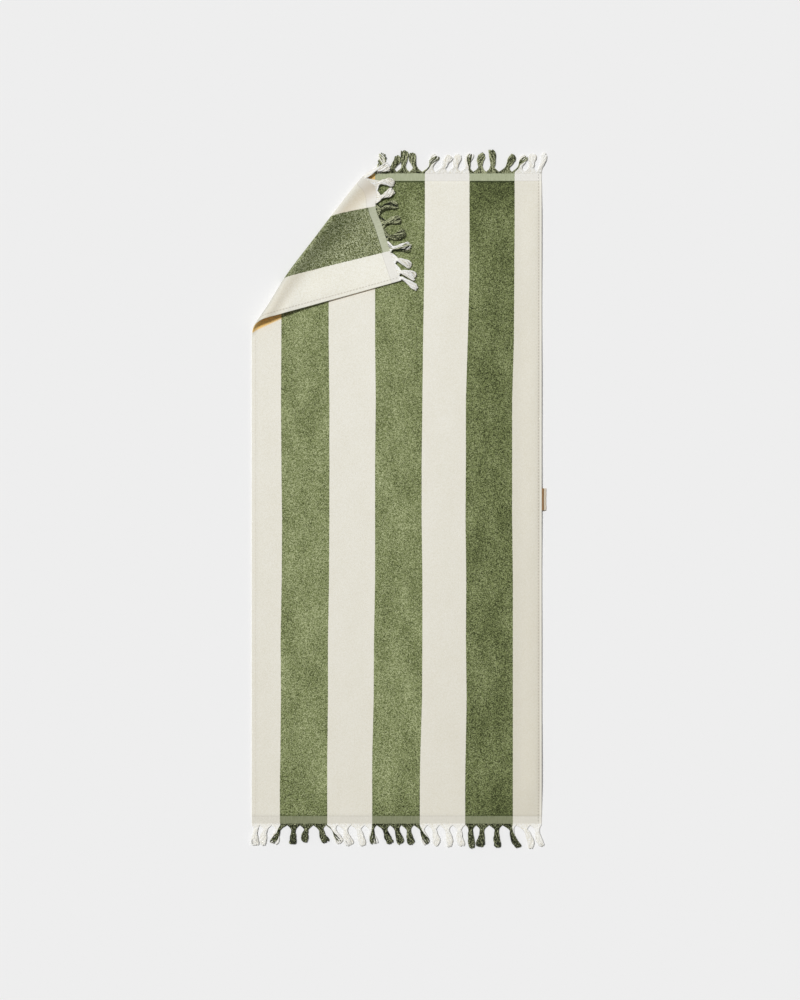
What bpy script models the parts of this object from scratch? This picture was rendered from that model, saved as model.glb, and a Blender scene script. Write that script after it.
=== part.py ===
"""A striped beach towel lying flat, with one corner turned over and a fringe at each end.

Metres, +Z up.  The towel lies on z = 0 with its front (velour) side up.  +Y runs
along its length to the end whose left corner is turned over, +X across its width,
and the origin is under the middle of the cloth.  The cloth's own flat sizes are
"warp" (across, from its left edge) and "y" (along it).
"""
import math

import bmesh
import bpy
import numpy as np
from mathutils import Vector
from mathutils.geometry import delaunay_2d_cdt

# ---- driving sizes -------------------------------------------------------------
WIDTH = 0.800                  # cloth across its stripes
LENGTH = 1.800                 # cloth from hem edge to hem edge, without fringe
LEFT = -WIDTH / 2
RIGHT = WIDTH / 2
TOP = LENGTH / 2
BOTTOM = -LENGTH / 2
PILE_THICK = 0.0030            # terry body
END_HEM = 0.0235               # flat-woven band at each end
END_HEM_THICK = 0.0022
SIDE_HEM = 0.0120              # turned and stitched band along each side
SIDE_HEM_THICK = 0.0034
HEM_STEP = 0.0030              # width over which a hem's thickness becomes the pile's
LAYER_GAP = 0.0010             # between the turned corner and the cloth under it
PIECE_GAP = 0.0003             # between neighbouring pieces

# The turned corner.  "along" is the distance up the fold from the foot of the corner's
# square to it, "set_in" the distance from the flat corner to the fold's outer edge, and
# "radius" the outer radius of the soft roll there, which opens at both ends.
ACROSS_FOLD = (0.8, -0.6)      # from the corner into the cloth, square to the fold
ALONG_FOLD = (0.6, 0.8)        # up the fold
FOLD_COLUMNS = ("along", "set_in", "radius")
FOLD_ROWS = (
    (-0.350, 0.2590, 0.0150),
    (-0.280, 0.2555, 0.0125),
    (-0.180, 0.2460, 0.0085),
    (-0.047, 0.2460, 0.0068),
    (0.086, 0.2470, 0.0068),
    (0.130, 0.2480, 0.0078),
    (0.171, 0.2515, 0.0090),
    (0.210, 0.2650, 0.0095),
)
# Where the turned hem lies: "warp" is the distance from the cloth's left edge, "across"
# and "down" the place of that end of the warp from the left edge and the top hem.
TURNED_COLUMNS = ("warp", "across", "down")
TURNED_ROWS = (
    (0.000, 0.4080, 0.2990),
    (0.0816, 0.3810, 0.2155),
    (0.1465, 0.3590, 0.1455),
    (0.2130, 0.3412, 0.0920),
    (0.2410, 0.3430, 0.0640),
    (0.2690, 0.3400, 0.0390),
    (0.2890, 0.3300, 0.0240),
)
SETTLE = 0.080                 # warp length over which the roll comes down to rest
MERGE = 0.020                  # warp length over which the turned hem joins the roll
RIDGE_WARP = 0.205             # a soft ridge between the flap's two flattish facets
RIDGE_RISE = 0.0022
RIDGE_SPREAD = 0.030

# ---- fringe --------------------------------------------------------------------
HEADER = 0.0040                # woven strip that the tassels hang from
TASSEL_GAP = 0.0016            # between two roots, on the strip
LEAST_GAP = 0.2                # and no more than this share of a narrow root
NECK_WIDTH = 0.0105
NECK_THICK = 0.0055
TUFT_WIDTH = 0.0180
TUFT_THICK = 0.0062
NECK_OUT = 0.0140              # from the strip to the neck
NECK_LEAN = 0.25               # share of the tip's sideways shift that the neck takes
KNOT_AT = 0.22                 # share of the way from neck to tip where the locks part
KNOT_WIDE = 1.25               # the width there, in neck widths
CROWN = 0.25                   # how much lower a section's ends are than its middle
LEAST_TASSEL = 0.45            # a tassel's width over its full one with no root, and the
FULL_ROOT = 0.060              # root width that adds a whole one to it
OUTER_LOCK = 0.78              # an outer lock's height over an inner one's
LOCK_UNEVEN = 0.10             # share by which the shortest lock stops short
LOCKS = 4                      # locks of yarn in a tassel, side by side
# A lock's sections, a row each: "share" of the way from neck to tip, "spread" of its place in the
# tuft, then its width and height as shares of the lock's pitch and of the tuft's height.
LOCK_ROWS = (
    (0.58, 0.94, 0.84, 1.00),
    (0.90, 1.06, 0.86, 0.90),
    (1.00, 1.04, 0.52, 0.50),
)
FLOOR = 0.0
ON_CLOTH = PILE_THICK + 0.0005
# One row for each tassel: "root_end" is where its root ends on the hem, measured from the
# left edge (it starts where the last one ends), "tip" its tip's distance from the left
# edge, and "out" how far the tip stands off the hem.
TASSEL_COLUMNS = ("root_end", "tip", "out")
BOTTOM_TASSELS = (
    (0.021, 0.012, 0.058), (0.054, 0.032, 0.058), (0.097, 0.058, 0.053),
    (0.132, 0.113, 0.055), (0.169, 0.147, 0.050), (0.204, 0.202, 0.051),
    (0.236, 0.245, 0.051), (0.273, 0.271, 0.058), (0.311, 0.303, 0.060),
    (0.344, 0.340, 0.053), (0.381, 0.384, 0.053), (0.412, 0.412, 0.053),
    (0.447, 0.442, 0.055), (0.485, 0.481, 0.055), (0.518, 0.509, 0.060),
    (0.554, 0.545, 0.062), (0.588, 0.578, 0.060), (0.619, 0.603, 0.066),
    (0.655, 0.630, 0.062), (0.692, 0.683, 0.064), (0.730, 0.738, 0.064),
    (0.769, 0.772, 0.066), (0.800, 0.799, 0.061),
)
TOP_START = 0.312              # where the strip is parted, on the side of the roll
BARE_END = 0.334               # the strip is bare from there to the first root on the floor
TOP_TASSELS = (
    (0.365, 0.362, 0.053), (0.400, 0.405, 0.047), (0.435, 0.422, 0.061),
    (0.470, 0.442, 0.055), (0.506, 0.512, 0.047), (0.541, 0.547, 0.047),
    (0.576, 0.572, 0.050), (0.612, 0.603, 0.052), (0.647, 0.637, 0.055),
    (0.683, 0.659, 0.063), (0.718, 0.722, 0.050), (0.753, 0.756, 0.047),
    (0.787, 0.777, 0.052), (0.800, 0.809, 0.055),
)
# The tassels on the turned hem: "root_end" as above, then the neck and the tip as
# distances from the left edge and down from the top hem, and the heights of their
# undersides, because the first ones come off the roll.
TURNED_TASSEL_COLUMNS = (
    "root_end", "neck", "neck_down", "tip", "tip_down", "neck_rest", "tip_rest",
)
TURNED_TASSELS = (
    (0.011, 0.415, 0.292, 0.456, 0.321, ON_CLOTH, ON_CLOTH),
    (0.046, 0.411, 0.275, 0.452, 0.289, ON_CLOTH, ON_CLOTH),
    (0.075, 0.402, 0.241, 0.440, 0.257, ON_CLOTH, ON_CLOTH),
    (0.105, 0.390, 0.209, 0.440, 0.206, ON_CLOTH, ON_CLOTH),
    (0.137, 0.378, 0.177, 0.417, 0.163, ON_CLOTH, ON_CLOTH),
    (0.178, 0.370, 0.138, 0.412, 0.129, ON_CLOTH, ON_CLOTH),
    (0.220, 0.358, 0.101, 0.401, 0.086, ON_CLOTH, ON_CLOTH),
    (0.256, 0.358, 0.068, 0.390, 0.048, 0.0050, ON_CLOTH),
    (0.289, 0.353, 0.029, 0.393, 0.029, 0.0080, ON_CLOTH),
    (TOP_START, 0.342, -0.007, 0.380, -0.0155, 0.0090, 0.0070),
)

# ---- edge tab: a folded tape stitched to the right edge --------------------------
TAB_FROM_TOP = 0.872           # from the top hem to the tab's upper edge
TAB_LENGTH = 0.061
TAB_OUT = 0.0130
TAB_TAPE = 0.0006
TAB_HEIGHT = 0.0018
TAB_FACETS = 4                 # in the tape's half turn

# ---- mesh steps ------------------------------------------------------------------
WARP_STEP = 0.0125             # between the warps that are followed over the fold
ROLL_STEPS = 10                # facets in the roll's half turn
ROLL_LEAD = (0.030, 0.010)     # warp lengths before the roll that get a row of points
FLAP_ROWS = (0.013, 0.026, 0.039, 0.052, 0.066, 0.082, 0.110, 0.145, 0.185, 0.235, 0.295)
OPEN_STEP = 0.0700             # between points where the cloth lies flat
FOLD_SEARCH = 0.420            # the fold crosses the top hem before this warp
FOLD_SEARCH_STEP = 0.001
EDGE_CLEAR = 0.0040            # nearest that a row's point comes to the end hem's line
HEM_LINES = (TOP - END_HEM - HEM_STEP, TOP - END_HEM, TOP)
NEAR = 0.0012                  # closer points than this are one point


def column(rows, names, name):
    """One named column of a table, as an array."""
    return np.array([row[names.index(name)] for row in rows], dtype=float)


def smooth_curve(at, known_at, known):
    """A smooth curve through known values: cubic pieces whose slopes are the mean ones."""
    slopes = np.gradient(known, known_at)
    at = np.clip(at, known_at[0], known_at[-1])
    piece = np.clip(np.searchsorted(known_at, at) - 1, 0, len(known_at) - 2)
    span = known_at[piece + 1] - known_at[piece]
    t = (at - known_at[piece]) / span
    start = (1 + 2 * t) * (1 - t) ** 2 * known[piece] + t * (1 - t) ** 2 * span * slopes[piece]
    end = t * t * (3 - 2 * t) * known[piece + 1] + t * t * (t - 1) * span * slopes[piece + 1]
    return start + end


def eased(t):
    """0 to 1 with level ends."""
    t = np.clip(t, 0.0, 1.0)
    return t * t * (3 - 2 * t)


# ---- the cloth's shape -------------------------------------------------------------
def fold_along(x, y):
    return (x - LEFT) * ALONG_FOLD[0] + (y - TOP) * ALONG_FOLD[1]


def fold_value(along, name):
    return smooth_curve(along, column(FOLD_ROWS, FOLD_COLUMNS, "along"),
                        column(FOLD_ROWS, FOLD_COLUMNS, name))


def turn_start(x):
    """The y at which each warp leaves the floor, found by closing in on the roll's foot."""
    y = np.full_like(x, TOP - 0.2)
    for _ in range(40):
        along = fold_along(x, y)
        foot = fold_value(along, "set_in") + fold_value(along, "radius")
        y = TOP - (foot - (x - LEFT) * ACROSS_FOLD[0]) / -ACROSS_FOLD[1]
    return y


def plan(along, across):
    """A place on the floor from its distances up the fold and into the cloth."""
    x = LEFT + along * ALONG_FOLD[0] + across * ACROSS_FOLD[0]
    y = TOP + along * ALONG_FOLD[1] + across * ACROSS_FOLD[1]
    return x, y


def reverse_side(x, y):
    """Where each point of the flat cloth's reverse side lies.  A warp runs flat to the
    fold, climbs the roll as a helix, and then runs to its own end of the turned hem while
    it comes down to rest on the cloth."""
    x = np.asarray(x, dtype=float)
    y = np.asarray(y, dtype=float)
    start = turn_start(x)
    past = y - start
    along_start = fold_along(x, start)
    radius = fold_value(along_start, "radius")
    turn = math.pi * radius / -ACROSS_FOLD[1]
    climb = ALONG_FOLD[1] / -ACROSS_FOLD[1]

    angle = math.pi * np.clip(past / turn, 0.0, 1.0)
    along = along_start + climb * radius * angle
    foot = fold_value(along, "set_in") + fold_value(along, "radius")
    foot_at_start = fold_value(along_start, "set_in") + radius
    lead = eased(angle / math.pi)
    roll_x, roll_y = plan(along, foot_at_start * (1 - lead) + foot * lead - radius * np.sin(angle))
    roll_z = radius * (1 - np.cos(angle))

    # the turned part: from the roll's end to the hem, leaving the roll in its own direction
    left = np.maximum(TOP - start - turn, 1e-5)
    went = np.maximum(past - turn, 0.0)
    f = went / left
    way_x = ALONG_FOLD[0] * ALONG_FOLD[1] + ACROSS_FOLD[0] * -ACROSS_FOLD[1]
    way_y = ALONG_FOLD[1] * ALONG_FOLD[1] + ACROSS_FOLD[1] * -ACROSS_FOLD[1]
    warps = column(TURNED_ROWS, TURNED_COLUMNS, "warp")
    hem_x = LEFT + smooth_curve(x - LEFT, warps, column(TURNED_ROWS, TURNED_COLUMNS, "across"))
    hem_y = TOP - smooth_curve(x - LEFT, warps, column(TURNED_ROWS, TURNED_COLUMNS, "down"))
    own = eased(left / MERGE)
    chord_x = (hem_x - roll_x) * own + way_x * left * (1 - own)
    chord_y = (hem_y - roll_y) * own + way_y * left * (1 - own)
    reach = np.hypot(chord_x, chord_y)
    bow = np.where(f < 1, f * (1 - f) ** 2, 0.0)
    turned_x = roll_x + chord_x * f + (way_x * reach - chord_x) * bow
    turned_y = roll_y + chord_y * f + (way_y * reach - chord_y) * bow
    rest = 2 * PILE_THICK + LAYER_GAP
    down = eased(went / SETTLE)
    ridge = RIDGE_RISE * np.exp(-((x - LEFT - RIDGE_WARP) / RIDGE_SPREAD) ** 2)
    turned_z = 2 * radius + (rest + ridge - 2 * radius) * down

    flat = past <= 0
    turned = past > turn
    out = np.stack([np.where(flat, x, np.where(turned, turned_x, roll_x)),
                    np.where(flat, y, np.where(turned, turned_y, roll_y)),
                    np.where(flat, 0.0, np.where(turned, turned_z, roll_z))], axis=-1)
    unfolded = start > TOP + HEADER + 2 * PIECE_GAP
    return np.where(unfolded[..., None], np.stack([x, y, np.zeros_like(x)], axis=-1), out)


def thickness(x, y):
    """The pile's thickness, the thin end bands and the thick side bands."""
    from_end = np.minimum(TOP - y, y - BOTTOM)
    from_side = np.minimum(x - LEFT, RIGHT - x)
    side = eased((from_side - SIDE_HEM) / HEM_STEP)
    end = eased((from_end - END_HEM) / HEM_STEP)
    body = SIDE_HEM_THICK * (1 - side) + PILE_THICK * side
    return END_HEM_THICK * (1 - end) + body * end


def both_sides(x, y):
    """The reverse and the front of the cloth: the front is one thickness along the normal."""
    x = np.asarray(x, dtype=float)
    y = np.asarray(y, dtype=float)
    step = 2e-4
    over = reverse_side(x + step, y) - reverse_side(x - step, y)
    up = reverse_side(x, y + step) - reverse_side(x, y - step)
    normal = np.cross(over, up)
    normal /= np.linalg.norm(normal, axis=-1, keepdims=True)
    back = reverse_side(x, y)
    return back, back + normal * thickness(x, y)[..., None]


# ---- making objects ------------------------------------------------------------------
def material(name, colour, roughness):
    made = bpy.data.materials.new(name)
    made.use_nodes = True
    shader = made.node_tree.nodes["Principled BSDF"]
    shader.inputs["Base Color"].default_value = (*colour, 1.0)
    shader.inputs["Roughness"].default_value = roughness
    shader.inputs["Metallic"].default_value = 0.0
    return made


def add_object(name, mesh_in_progress, finish):
    bmesh.ops.triangulate(mesh_in_progress, faces=list(mesh_in_progress.faces))
    mesh = bpy.data.meshes.new(name)
    mesh_in_progress.to_mesh(mesh)
    mesh_in_progress.free()
    mesh.materials.append(finish)
    made = bpy.data.objects.new(name, mesh)
    bpy.context.scene.collection.objects.link(made)
    return made


# ---- the cloth -------------------------------------------------------------------------
def fold_rows():
    """Rows of points that run beside the fold: where each meets every warp that is
    followed, the two lines of the end hem, and the hem's edge."""
    warps = np.arange(LEFT, LEFT + FOLD_SEARCH, FOLD_SEARCH_STEP)
    start = turn_start(warps)
    turn = math.pi * fold_value(fold_along(warps, start), "radius") / -ACROSS_FOLD[1]
    offsets = [0 * turn - lead for lead in ROLL_LEAD]
    offsets += [turn * k / ROLL_STEPS for k in range(ROLL_STEPS + 1)]
    offsets += [turn + further for further in FLAP_ROWS]
    followed = np.concatenate([[LEFT, LEFT + SIDE_HEM],
                               np.arange(LEFT + SIDE_HEM + HEM_STEP, RIGHT, WARP_STEP)])
    rows = []
    for offset in offsets:
        line = start + offset
        crossings = [float(np.interp(level, line, warps)) for level in HEM_LINES]
        heights = np.interp(followed, warps, line)
        keep = heights < HEM_LINES[0] - EDGE_CLEAR
        rows.append(list(zip(followed[keep], heights[keep])) + list(zip(crossings, HEM_LINES)))
    return rows


def merge_near(values, fixed=()):
    """Sorted values with near neighbours made one; the fixed ones are never the one lost."""
    kept = []
    for value in sorted(set(values) | set(fixed)):
        if kept and value - kept[-1] < NEAR:
            if value in fixed:
                kept[-1] = value
        else:
            kept.append(value)
    return kept


def root_ends(table, names=TASSEL_COLUMNS):
    return [LEFT + end for end in column(table, names, "root_end")]


def top_stations():
    """Every x at which the top hem has a point: row ends, root ends and even steps."""
    fixed = [LEFT, RIGHT, LEFT + BARE_END] + root_ends(TOP_TASSELS)
    fixed += root_ends(TURNED_TASSELS, TURNED_TASSEL_COLUMNS)
    loose = [row[-1][0] for row in fold_rows()]
    return merge_near(loose, fixed)


def cloth_layout():
    """The flat cloth's points and the edges that its triangles keep to."""
    points = []
    index = {}
    edges = []

    def point(x, y):
        key = (round(x, 6), round(y, 6))
        if key not in index:
            index[key] = len(points)
            points.append(Vector((x, y)))
        return index[key]

    def line(nodes):
        ids = [point(x, y) for x, y in nodes]
        edges.extend((a, b) for a, b in zip(ids, ids[1:]) if a != b)

    top = top_stations()
    bottom = merge_near([], root_ends(BOTTOM_TASSELS) + [LEFT, RIGHT])
    rows = fold_rows()
    foot = rows[0][0][1]
    bands = [BOTTOM + END_HEM, BOTTOM + END_HEM + HEM_STEP]
    steps = list(np.arange(bands[1] + OPEN_STEP, TOP - END_HEM - OPEN_STEP / 2, OPEN_STEP))
    side = [BOTTOM] + bands + [y for y in steps if y < foot - OPEN_STEP / 2]
    right = [BOTTOM] + bands + steps + list(HEM_LINES)
    line([(x, TOP) for x in top])
    line([(x, BOTTOM) for x in bottom])
    line([(RIGHT, y) for y in right])
    for row in rows:
        end = min(top, key=lambda x: abs(x - row[-1][0]))
        line(row[:-1] + [(end, TOP)])

    # the lines on which the hems' thickness changes, and the left edge
    for place, level in enumerate(HEM_LINES[:2]):
        beyond = rows[0][len(rows[0]) - 3 + place][0]
        crossings = [row[len(row) - 3 + place] for row in rows]
        line([(LEFT, level)] + crossings[::-1] + [(x, level) for x in top if x > beyond + NEAR])
    for level in bands:
        line([(x, level) for x in bottom])
    for inset in (SIDE_HEM, SIDE_HEM + HEM_STEP):
        line([(RIGHT - inset, y) for y in right])
    for place, inset in enumerate((0.0, SIDE_HEM, SIDE_HEM + HEM_STEP)):
        at = LEFT + inset
        line([(at, y) for y in side] + [(at, row[place][1]) for row in rows]
             + [(at, level) for level in HEM_LINES])

    # points where the cloth lies flat, clear of the fold
    first_x = np.array([x for x, _ in rows[0]])
    first_y = np.array([y for _, y in rows[0]])
    for x in np.arange(LEFT + OPEN_STEP, RIGHT - OPEN_STEP / 2, OPEN_STEP):
        roof = np.interp(x, first_x, first_y) if x < first_x[-1] else TOP
        for y in steps:
            if y < roof - OPEN_STEP / 2:
                point(x, y)
    return points, edges


def build_cloth():
    points, edges = cloth_layout()
    flat, _, triangles, *_ = delaunay_2d_cdt(points, edges, [], 0, 1e-6)
    flat = np.array([tuple(p) for p in flat])
    back, front = both_sides(flat[:, 0], flat[:, 1])
    cloth = bmesh.new()
    low = [cloth.verts.new(p) for p in back]
    high = [cloth.verts.new(p) for p in front]
    count = {}
    for a, b, c in triangles:
        if np.cross(flat[b] - flat[a], flat[c] - flat[a]) < 0:
            b, c = c, b
        cloth.faces.new((high[a], high[b], high[c]))
        cloth.faces.new((low[c], low[b], low[a]))
        for edge in ((a, b), (b, c), (c, a)):
            count[edge] = count.get(edge, 0) + 1
    for a, b in count:
        if (b, a) not in count:
            cloth.faces.new((high[b], high[a], low[a], low[b]))
    return add_object("towel_cloth", cloth, COTTON_GREEN)


# ---- the fringe ----------------------------------------------------------------------
class Fringe:
    """A woven strip along a hem and the tassels that grow from it."""

    def __init__(self, name, hem_y, outward):
        self.name = name
        self.mesh = bmesh.new()
        self.hem_y = hem_y
        self.outward = outward

    def strip_points(self, x, out):
        """The reverse and front points of the strip, as vertices, at x and out from the hem."""
        y = self.hem_y + self.outward * out
        if self.outward > 0:
            back, front = both_sides(x, y)
            front = back + (front - back) * (END_HEM_THICK / np.linalg.norm(front - back))
        else:
            back = np.array([x, y, 0.0])
            front = np.array([x, y, END_HEM_THICK])
        return self.mesh.verts.new(back), self.mesh.verts.new(front)

    def ring(self, centre, heading, width, low, high, turned):
        """One section of a tassel: two rows of points square to its heading."""
        heading = Vector(heading).normalized()
        side = Vector((heading.y, -heading.x))
        if turned:
            side = -side
        if self.outward < 0:
            side = -side
        back, front = [], []
        for k in range(LOCKS + 1):
            at = Vector(centre) + side * width * (k / LOCKS - 0.5)
            crown = 1 - CROWN * (2 * k / LOCKS - 1) ** 2
            top = low + (high - low) * crown
            lower = self.mesh.verts.new((at.x, at.y, low))
            upper = self.mesh.verts.new((at.x, at.y, top))
            back.append(upper if turned else lower)
            front.append(lower if turned else upper)
        return back, front

    def face(self, *corners):
        corners = corners if self.outward > 0 else corners[::-1]
        self.mesh.faces.new(corners)

    def skin(self, ring_a, ring_b):
        """The four sides between two sections, outward faces."""
        (back_a, front_a), (back_b, front_b) = ring_a, ring_b
        for k in range(LOCKS):
            self.face(back_a[k], back_b[k], back_b[k + 1], back_a[k + 1])
            self.face(front_a[k + 1], front_b[k + 1], front_b[k], front_a[k])
        self.face(front_a[0], front_b[0], back_b[0], back_a[0])
        self.face(back_a[-1], back_b[-1], front_b[-1], front_a[-1])

    def band(self, line_a, line_b, front):
        """Triangles between two lines of (x, vertex), whichever line's next x comes first."""
        i, j = 0, 0
        while i < len(line_a) - 1 or j < len(line_b) - 1:
            next_a = line_a[i + 1][0] if i < len(line_a) - 1 else math.inf
            next_b = line_b[j + 1][0] if j < len(line_b) - 1 else math.inf
            if next_a <= next_b:
                corners = (line_a[i][1], line_a[i + 1][1], line_b[j][1])
                i += 1
            else:
                corners = (line_a[i][1], line_b[j + 1][1], line_b[j][1])
                j += 1
            self.face(*(corners if front else corners[::-1]))

    def lock(self, root, sections, heading, turned):
        """One lock of yarn: from a quarter of the knot's end through its own sections."""
        heading = Vector(heading).normalized()
        side = Vector((heading.y, -heading.x))
        if turned:
            side = -side
        if self.outward < 0:
            side = -side
        last = root
        for at, low, width, height in sections:
            corners = []
            for across, up in ((-0.5, 0), (0.5, 0), (0.5, 1), (-0.5, 1)):
                spot = Vector(at) + side * width * across
                level = 1 - up if turned else up
                corners.append(self.mesh.verts.new((spot.x, spot.y, low + height * level)))
            for k in range(4):
                self.face(last[k], corners[k], corners[(k + 1) % 4], last[(k + 1) % 4])
            last = corners
        self.face(*last[::-1])

    def tassel(self, root, neck, tip, neck_rest, tip_rest, root_width, turned, number):
        """A root drawn in to a neck, then a knot, then the locks."""
        neck = Vector(neck)
        tip = Vector(tip)
        heading = tip - neck
        reach = heading.length
        way = heading.normalized()
        full = min(1.0, LEAST_TASSEL + root_width / FULL_ROOT)
        neck_ring = self.ring(neck, way, NECK_WIDTH * full, neck_rest,
                              neck_rest + NECK_THICK, turned)
        self.skin(root, neck_ring)
        knot = neck + way * reach * KNOT_AT
        knot_rest = neck_rest * (1 - KNOT_AT) + tip_rest * KNOT_AT
        knot_ring = self.ring(knot, way, NECK_WIDTH * full * KNOT_WIDE, knot_rest,
                              knot_rest + TUFT_THICK, turned)
        self.skin(neck_ring, knot_ring)
        side = Vector((way.y, -way.x))
        if turned != (self.outward < 0):
            side = -side
        pitch = TUFT_WIDTH * full / LOCKS
        for k in range(LOCKS):
            off = (k - (LOCKS - 1) / 2) * pitch
            length = reach * (1.0 - LOCK_UNEVEN * ((k * 7 + number * 5) % LOCKS) / (LOCKS - 1))
            high = TUFT_THICK * (OUTER_LOCK if k in (0, LOCKS - 1) else 1.0)
            sections = []
            for share, spread, wide, tall in LOCK_ROWS:
                at = neck + way * length * share + side * off * spread
                rest = neck_rest * (1 - share) + tip_rest * share
                sections.append((at, rest, pitch * wide, high * tall))
            corners = (knot_ring[0][k], knot_ring[0][k + 1], knot_ring[1][k + 1], knot_ring[1][k])
            self.lock(corners, sections, way, turned)

    def strip(self, bounds, stations, bare=0):
        """The strip between the first and last bound, with a root opening for each tassel
        but in its first bare stretches."""
        inner = {}
        outer = {}
        for x in stations:
            inner[x] = self.strip_points(x, PIECE_GAP)
        roots = []
        for number, (start, end) in enumerate(zip(bounds, bounds[1:])):
            half_gap = min(TASSEL_GAP, (end - start) * LEAST_GAP) / 2
            xs = [start + half_gap + (end - start - 2 * half_gap) * k / LOCKS
                  for k in range(LOCKS + 1)]
            root = [self.strip_points(x, PIECE_GAP + HEADER) for x in xs]
            if number < bare:
                for a, b in zip(root, root[1:]):
                    self.face(a[1], b[1], b[0], a[0])
            else:
                roots.append(([p[0] for p in root], [p[1] for p in root]))
            for x in (start, end):
                if x not in outer:
                    outer[x] = self.strip_points(x, PIECE_GAP + HEADER)
            inside = [x for x in stations if start <= x <= end]
            for layer in (0, 1):
                hem_line = [(x, inner[x][layer]) for x in inside]
                root_line = [(start, outer[start][layer])]
                root_line += [(x, p[layer]) for x, p in zip(xs, root)]
                root_line.append((end, outer[end][layer]))
                self.band(hem_line, root_line, layer == 1)
            for a, b in zip(inside, inside[1:]):
                self.face(inner[a][0], inner[b][0], inner[b][1], inner[a][1])
            self.face(outer[start][1], root[0][1], root[0][0], outer[start][0])
            self.face(root[-1][1], outer[end][1], outer[end][0], root[-1][0])
        first, last = bounds[0], bounds[-1]
        self.face(inner[first][0], inner[first][1], outer[first][1], outer[first][0])
        self.face(inner[last][1], inner[last][0], outer[last][0], outer[last][1])
        return roots

    def finish(self):
        return add_object(self.name, self.mesh, FRINGE_YARN)


def flat_fringe(name, hem_y, outward, bounds, table, stations, bare=0):
    fringe = Fringe(name, hem_y, outward)
    roots = fringe.strip(bounds, stations, bare)
    bounds = bounds[bare:]
    tips = column(table, TASSEL_COLUMNS, "tip")
    outs = column(table, TASSEL_COLUMNS, "out")
    for number, root in enumerate(roots):
        a, b = bounds[number], bounds[number + 1]
        middle = (a + b) / 2
        tip = (LEFT + tips[number], hem_y + outward * outs[number])
        lean = (tip[0] - middle) * NECK_LEAN
        neck = (middle + lean, hem_y + outward * (PIECE_GAP + HEADER + NECK_OUT))
        fringe.tassel(root, neck, tip, FLOOR, FLOOR, b - a, False, number)
    return fringe.finish()


def build_bottom_fringe():
    bounds = [LEFT] + root_ends(BOTTOM_TASSELS)
    return flat_fringe("fringe_bottom", BOTTOM, -1, bounds, BOTTOM_TASSELS, bounds)


def build_top_fringe():
    start = LEFT + TOP_START + PIECE_GAP / 2
    stations = [start] + [x for x in top_stations() if x > start + NEAR]
    bounds = [start, LEFT + BARE_END] + root_ends(TOP_TASSELS)
    return flat_fringe("fringe_top", TOP, 1, bounds, TOP_TASSELS, stations, bare=1)


def build_turned_fringe():
    fringe = Fringe("fringe_turned", TOP, 1)
    end = LEFT + TOP_START - PIECE_GAP / 2
    bounds = [LEFT] + root_ends(TURNED_TASSELS, TURNED_TASSEL_COLUMNS)[:-1] + [end]
    stations = [x for x in top_stations() if x < end - NEAR] + [end]
    roots = fringe.strip(bounds, stations)
    for number, (root, row) in enumerate(zip(roots, TURNED_TASSELS)):
        _, neck_x, neck_down, tip_x, tip_down, neck_rest, tip_rest = row
        neck = (LEFT + neck_x, TOP - neck_down)
        tip = (LEFT + tip_x, TOP - tip_down)
        root_width = bounds[number + 1] - bounds[number]
        fringe.tassel(root, neck, tip, neck_rest, tip_rest, root_width, True, number)
    return fringe.finish()


# ---- the tab ---------------------------------------------------------------------------
def build_tab():
    """A tape folded back on itself: a U section that opens towards the cloth's edge."""
    near = RIGHT + PIECE_GAP
    bend_x = near + TAB_OUT - TAB_HEIGHT / 2
    middle = TAB_HEIGHT / 2
    sides = []
    for radius in (middle, middle - TAB_TAPE):
        bend = [(bend_x + radius * math.cos(turn), middle + radius * math.sin(turn))
                for turn in np.linspace(-math.pi / 2, math.pi / 2, TAB_FACETS + 1)]
        sides.append([(near, middle - radius)] + bend + [(near, middle + radius)])
    top = TOP - TAB_FROM_TOP
    tab = bmesh.new()
    outer, inner = ([[tab.verts.new((x, y, z)) for x, z in side]
                     for y in (top, top - TAB_LENGTH)] for side in sides)
    last = len(sides[0]) - 1
    for k in range(last):
        tab.faces.new((outer[0][k], outer[0][k + 1], outer[1][k + 1], outer[1][k]))
        tab.faces.new((inner[0][k + 1], inner[0][k], inner[1][k], inner[1][k + 1]))
        tab.faces.new((outer[0][k + 1], outer[0][k], inner[0][k], inner[0][k + 1]))
        tab.faces.new((outer[1][k], outer[1][k + 1], inner[1][k + 1], inner[1][k]))
    tab.faces.new((outer[0][0], outer[1][0], inner[1][0], inner[0][0]))
    tab.faces.new((outer[1][last], outer[0][last], inner[0][last], inner[1][last]))
    return add_object("edge_tab", tab, TAPE)


for old in list(bpy.data.objects):
    bpy.data.objects.remove(old, do_unlink=True)
COTTON_GREEN = material("cotton_terry", (0.20, 0.24, 0.10), 0.95)
FRINGE_YARN = material("cotton_yarn", (0.62, 0.62, 0.50), 0.95)
TAPE = material("cotton_tape", (0.72, 0.66, 0.54), 0.90)
build_cloth()
build_bottom_fringe()
build_top_fringe()
build_turned_fringe()
build_tab()
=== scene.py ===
"""A striped beach towel with one corner turned over, laid out flat with its front side up.

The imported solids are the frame.  The cloth, its stitching, its three fringes and its tab
are made here as fine surfaces in the same places.  Lengths are in metres, +Z is up, +Y runs
to the end whose left corner is turned over, and the origin is under the cloth's middle.
A place on the flat cloth is (x, y), before the corner is turned.
"""
import functools
import math

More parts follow.
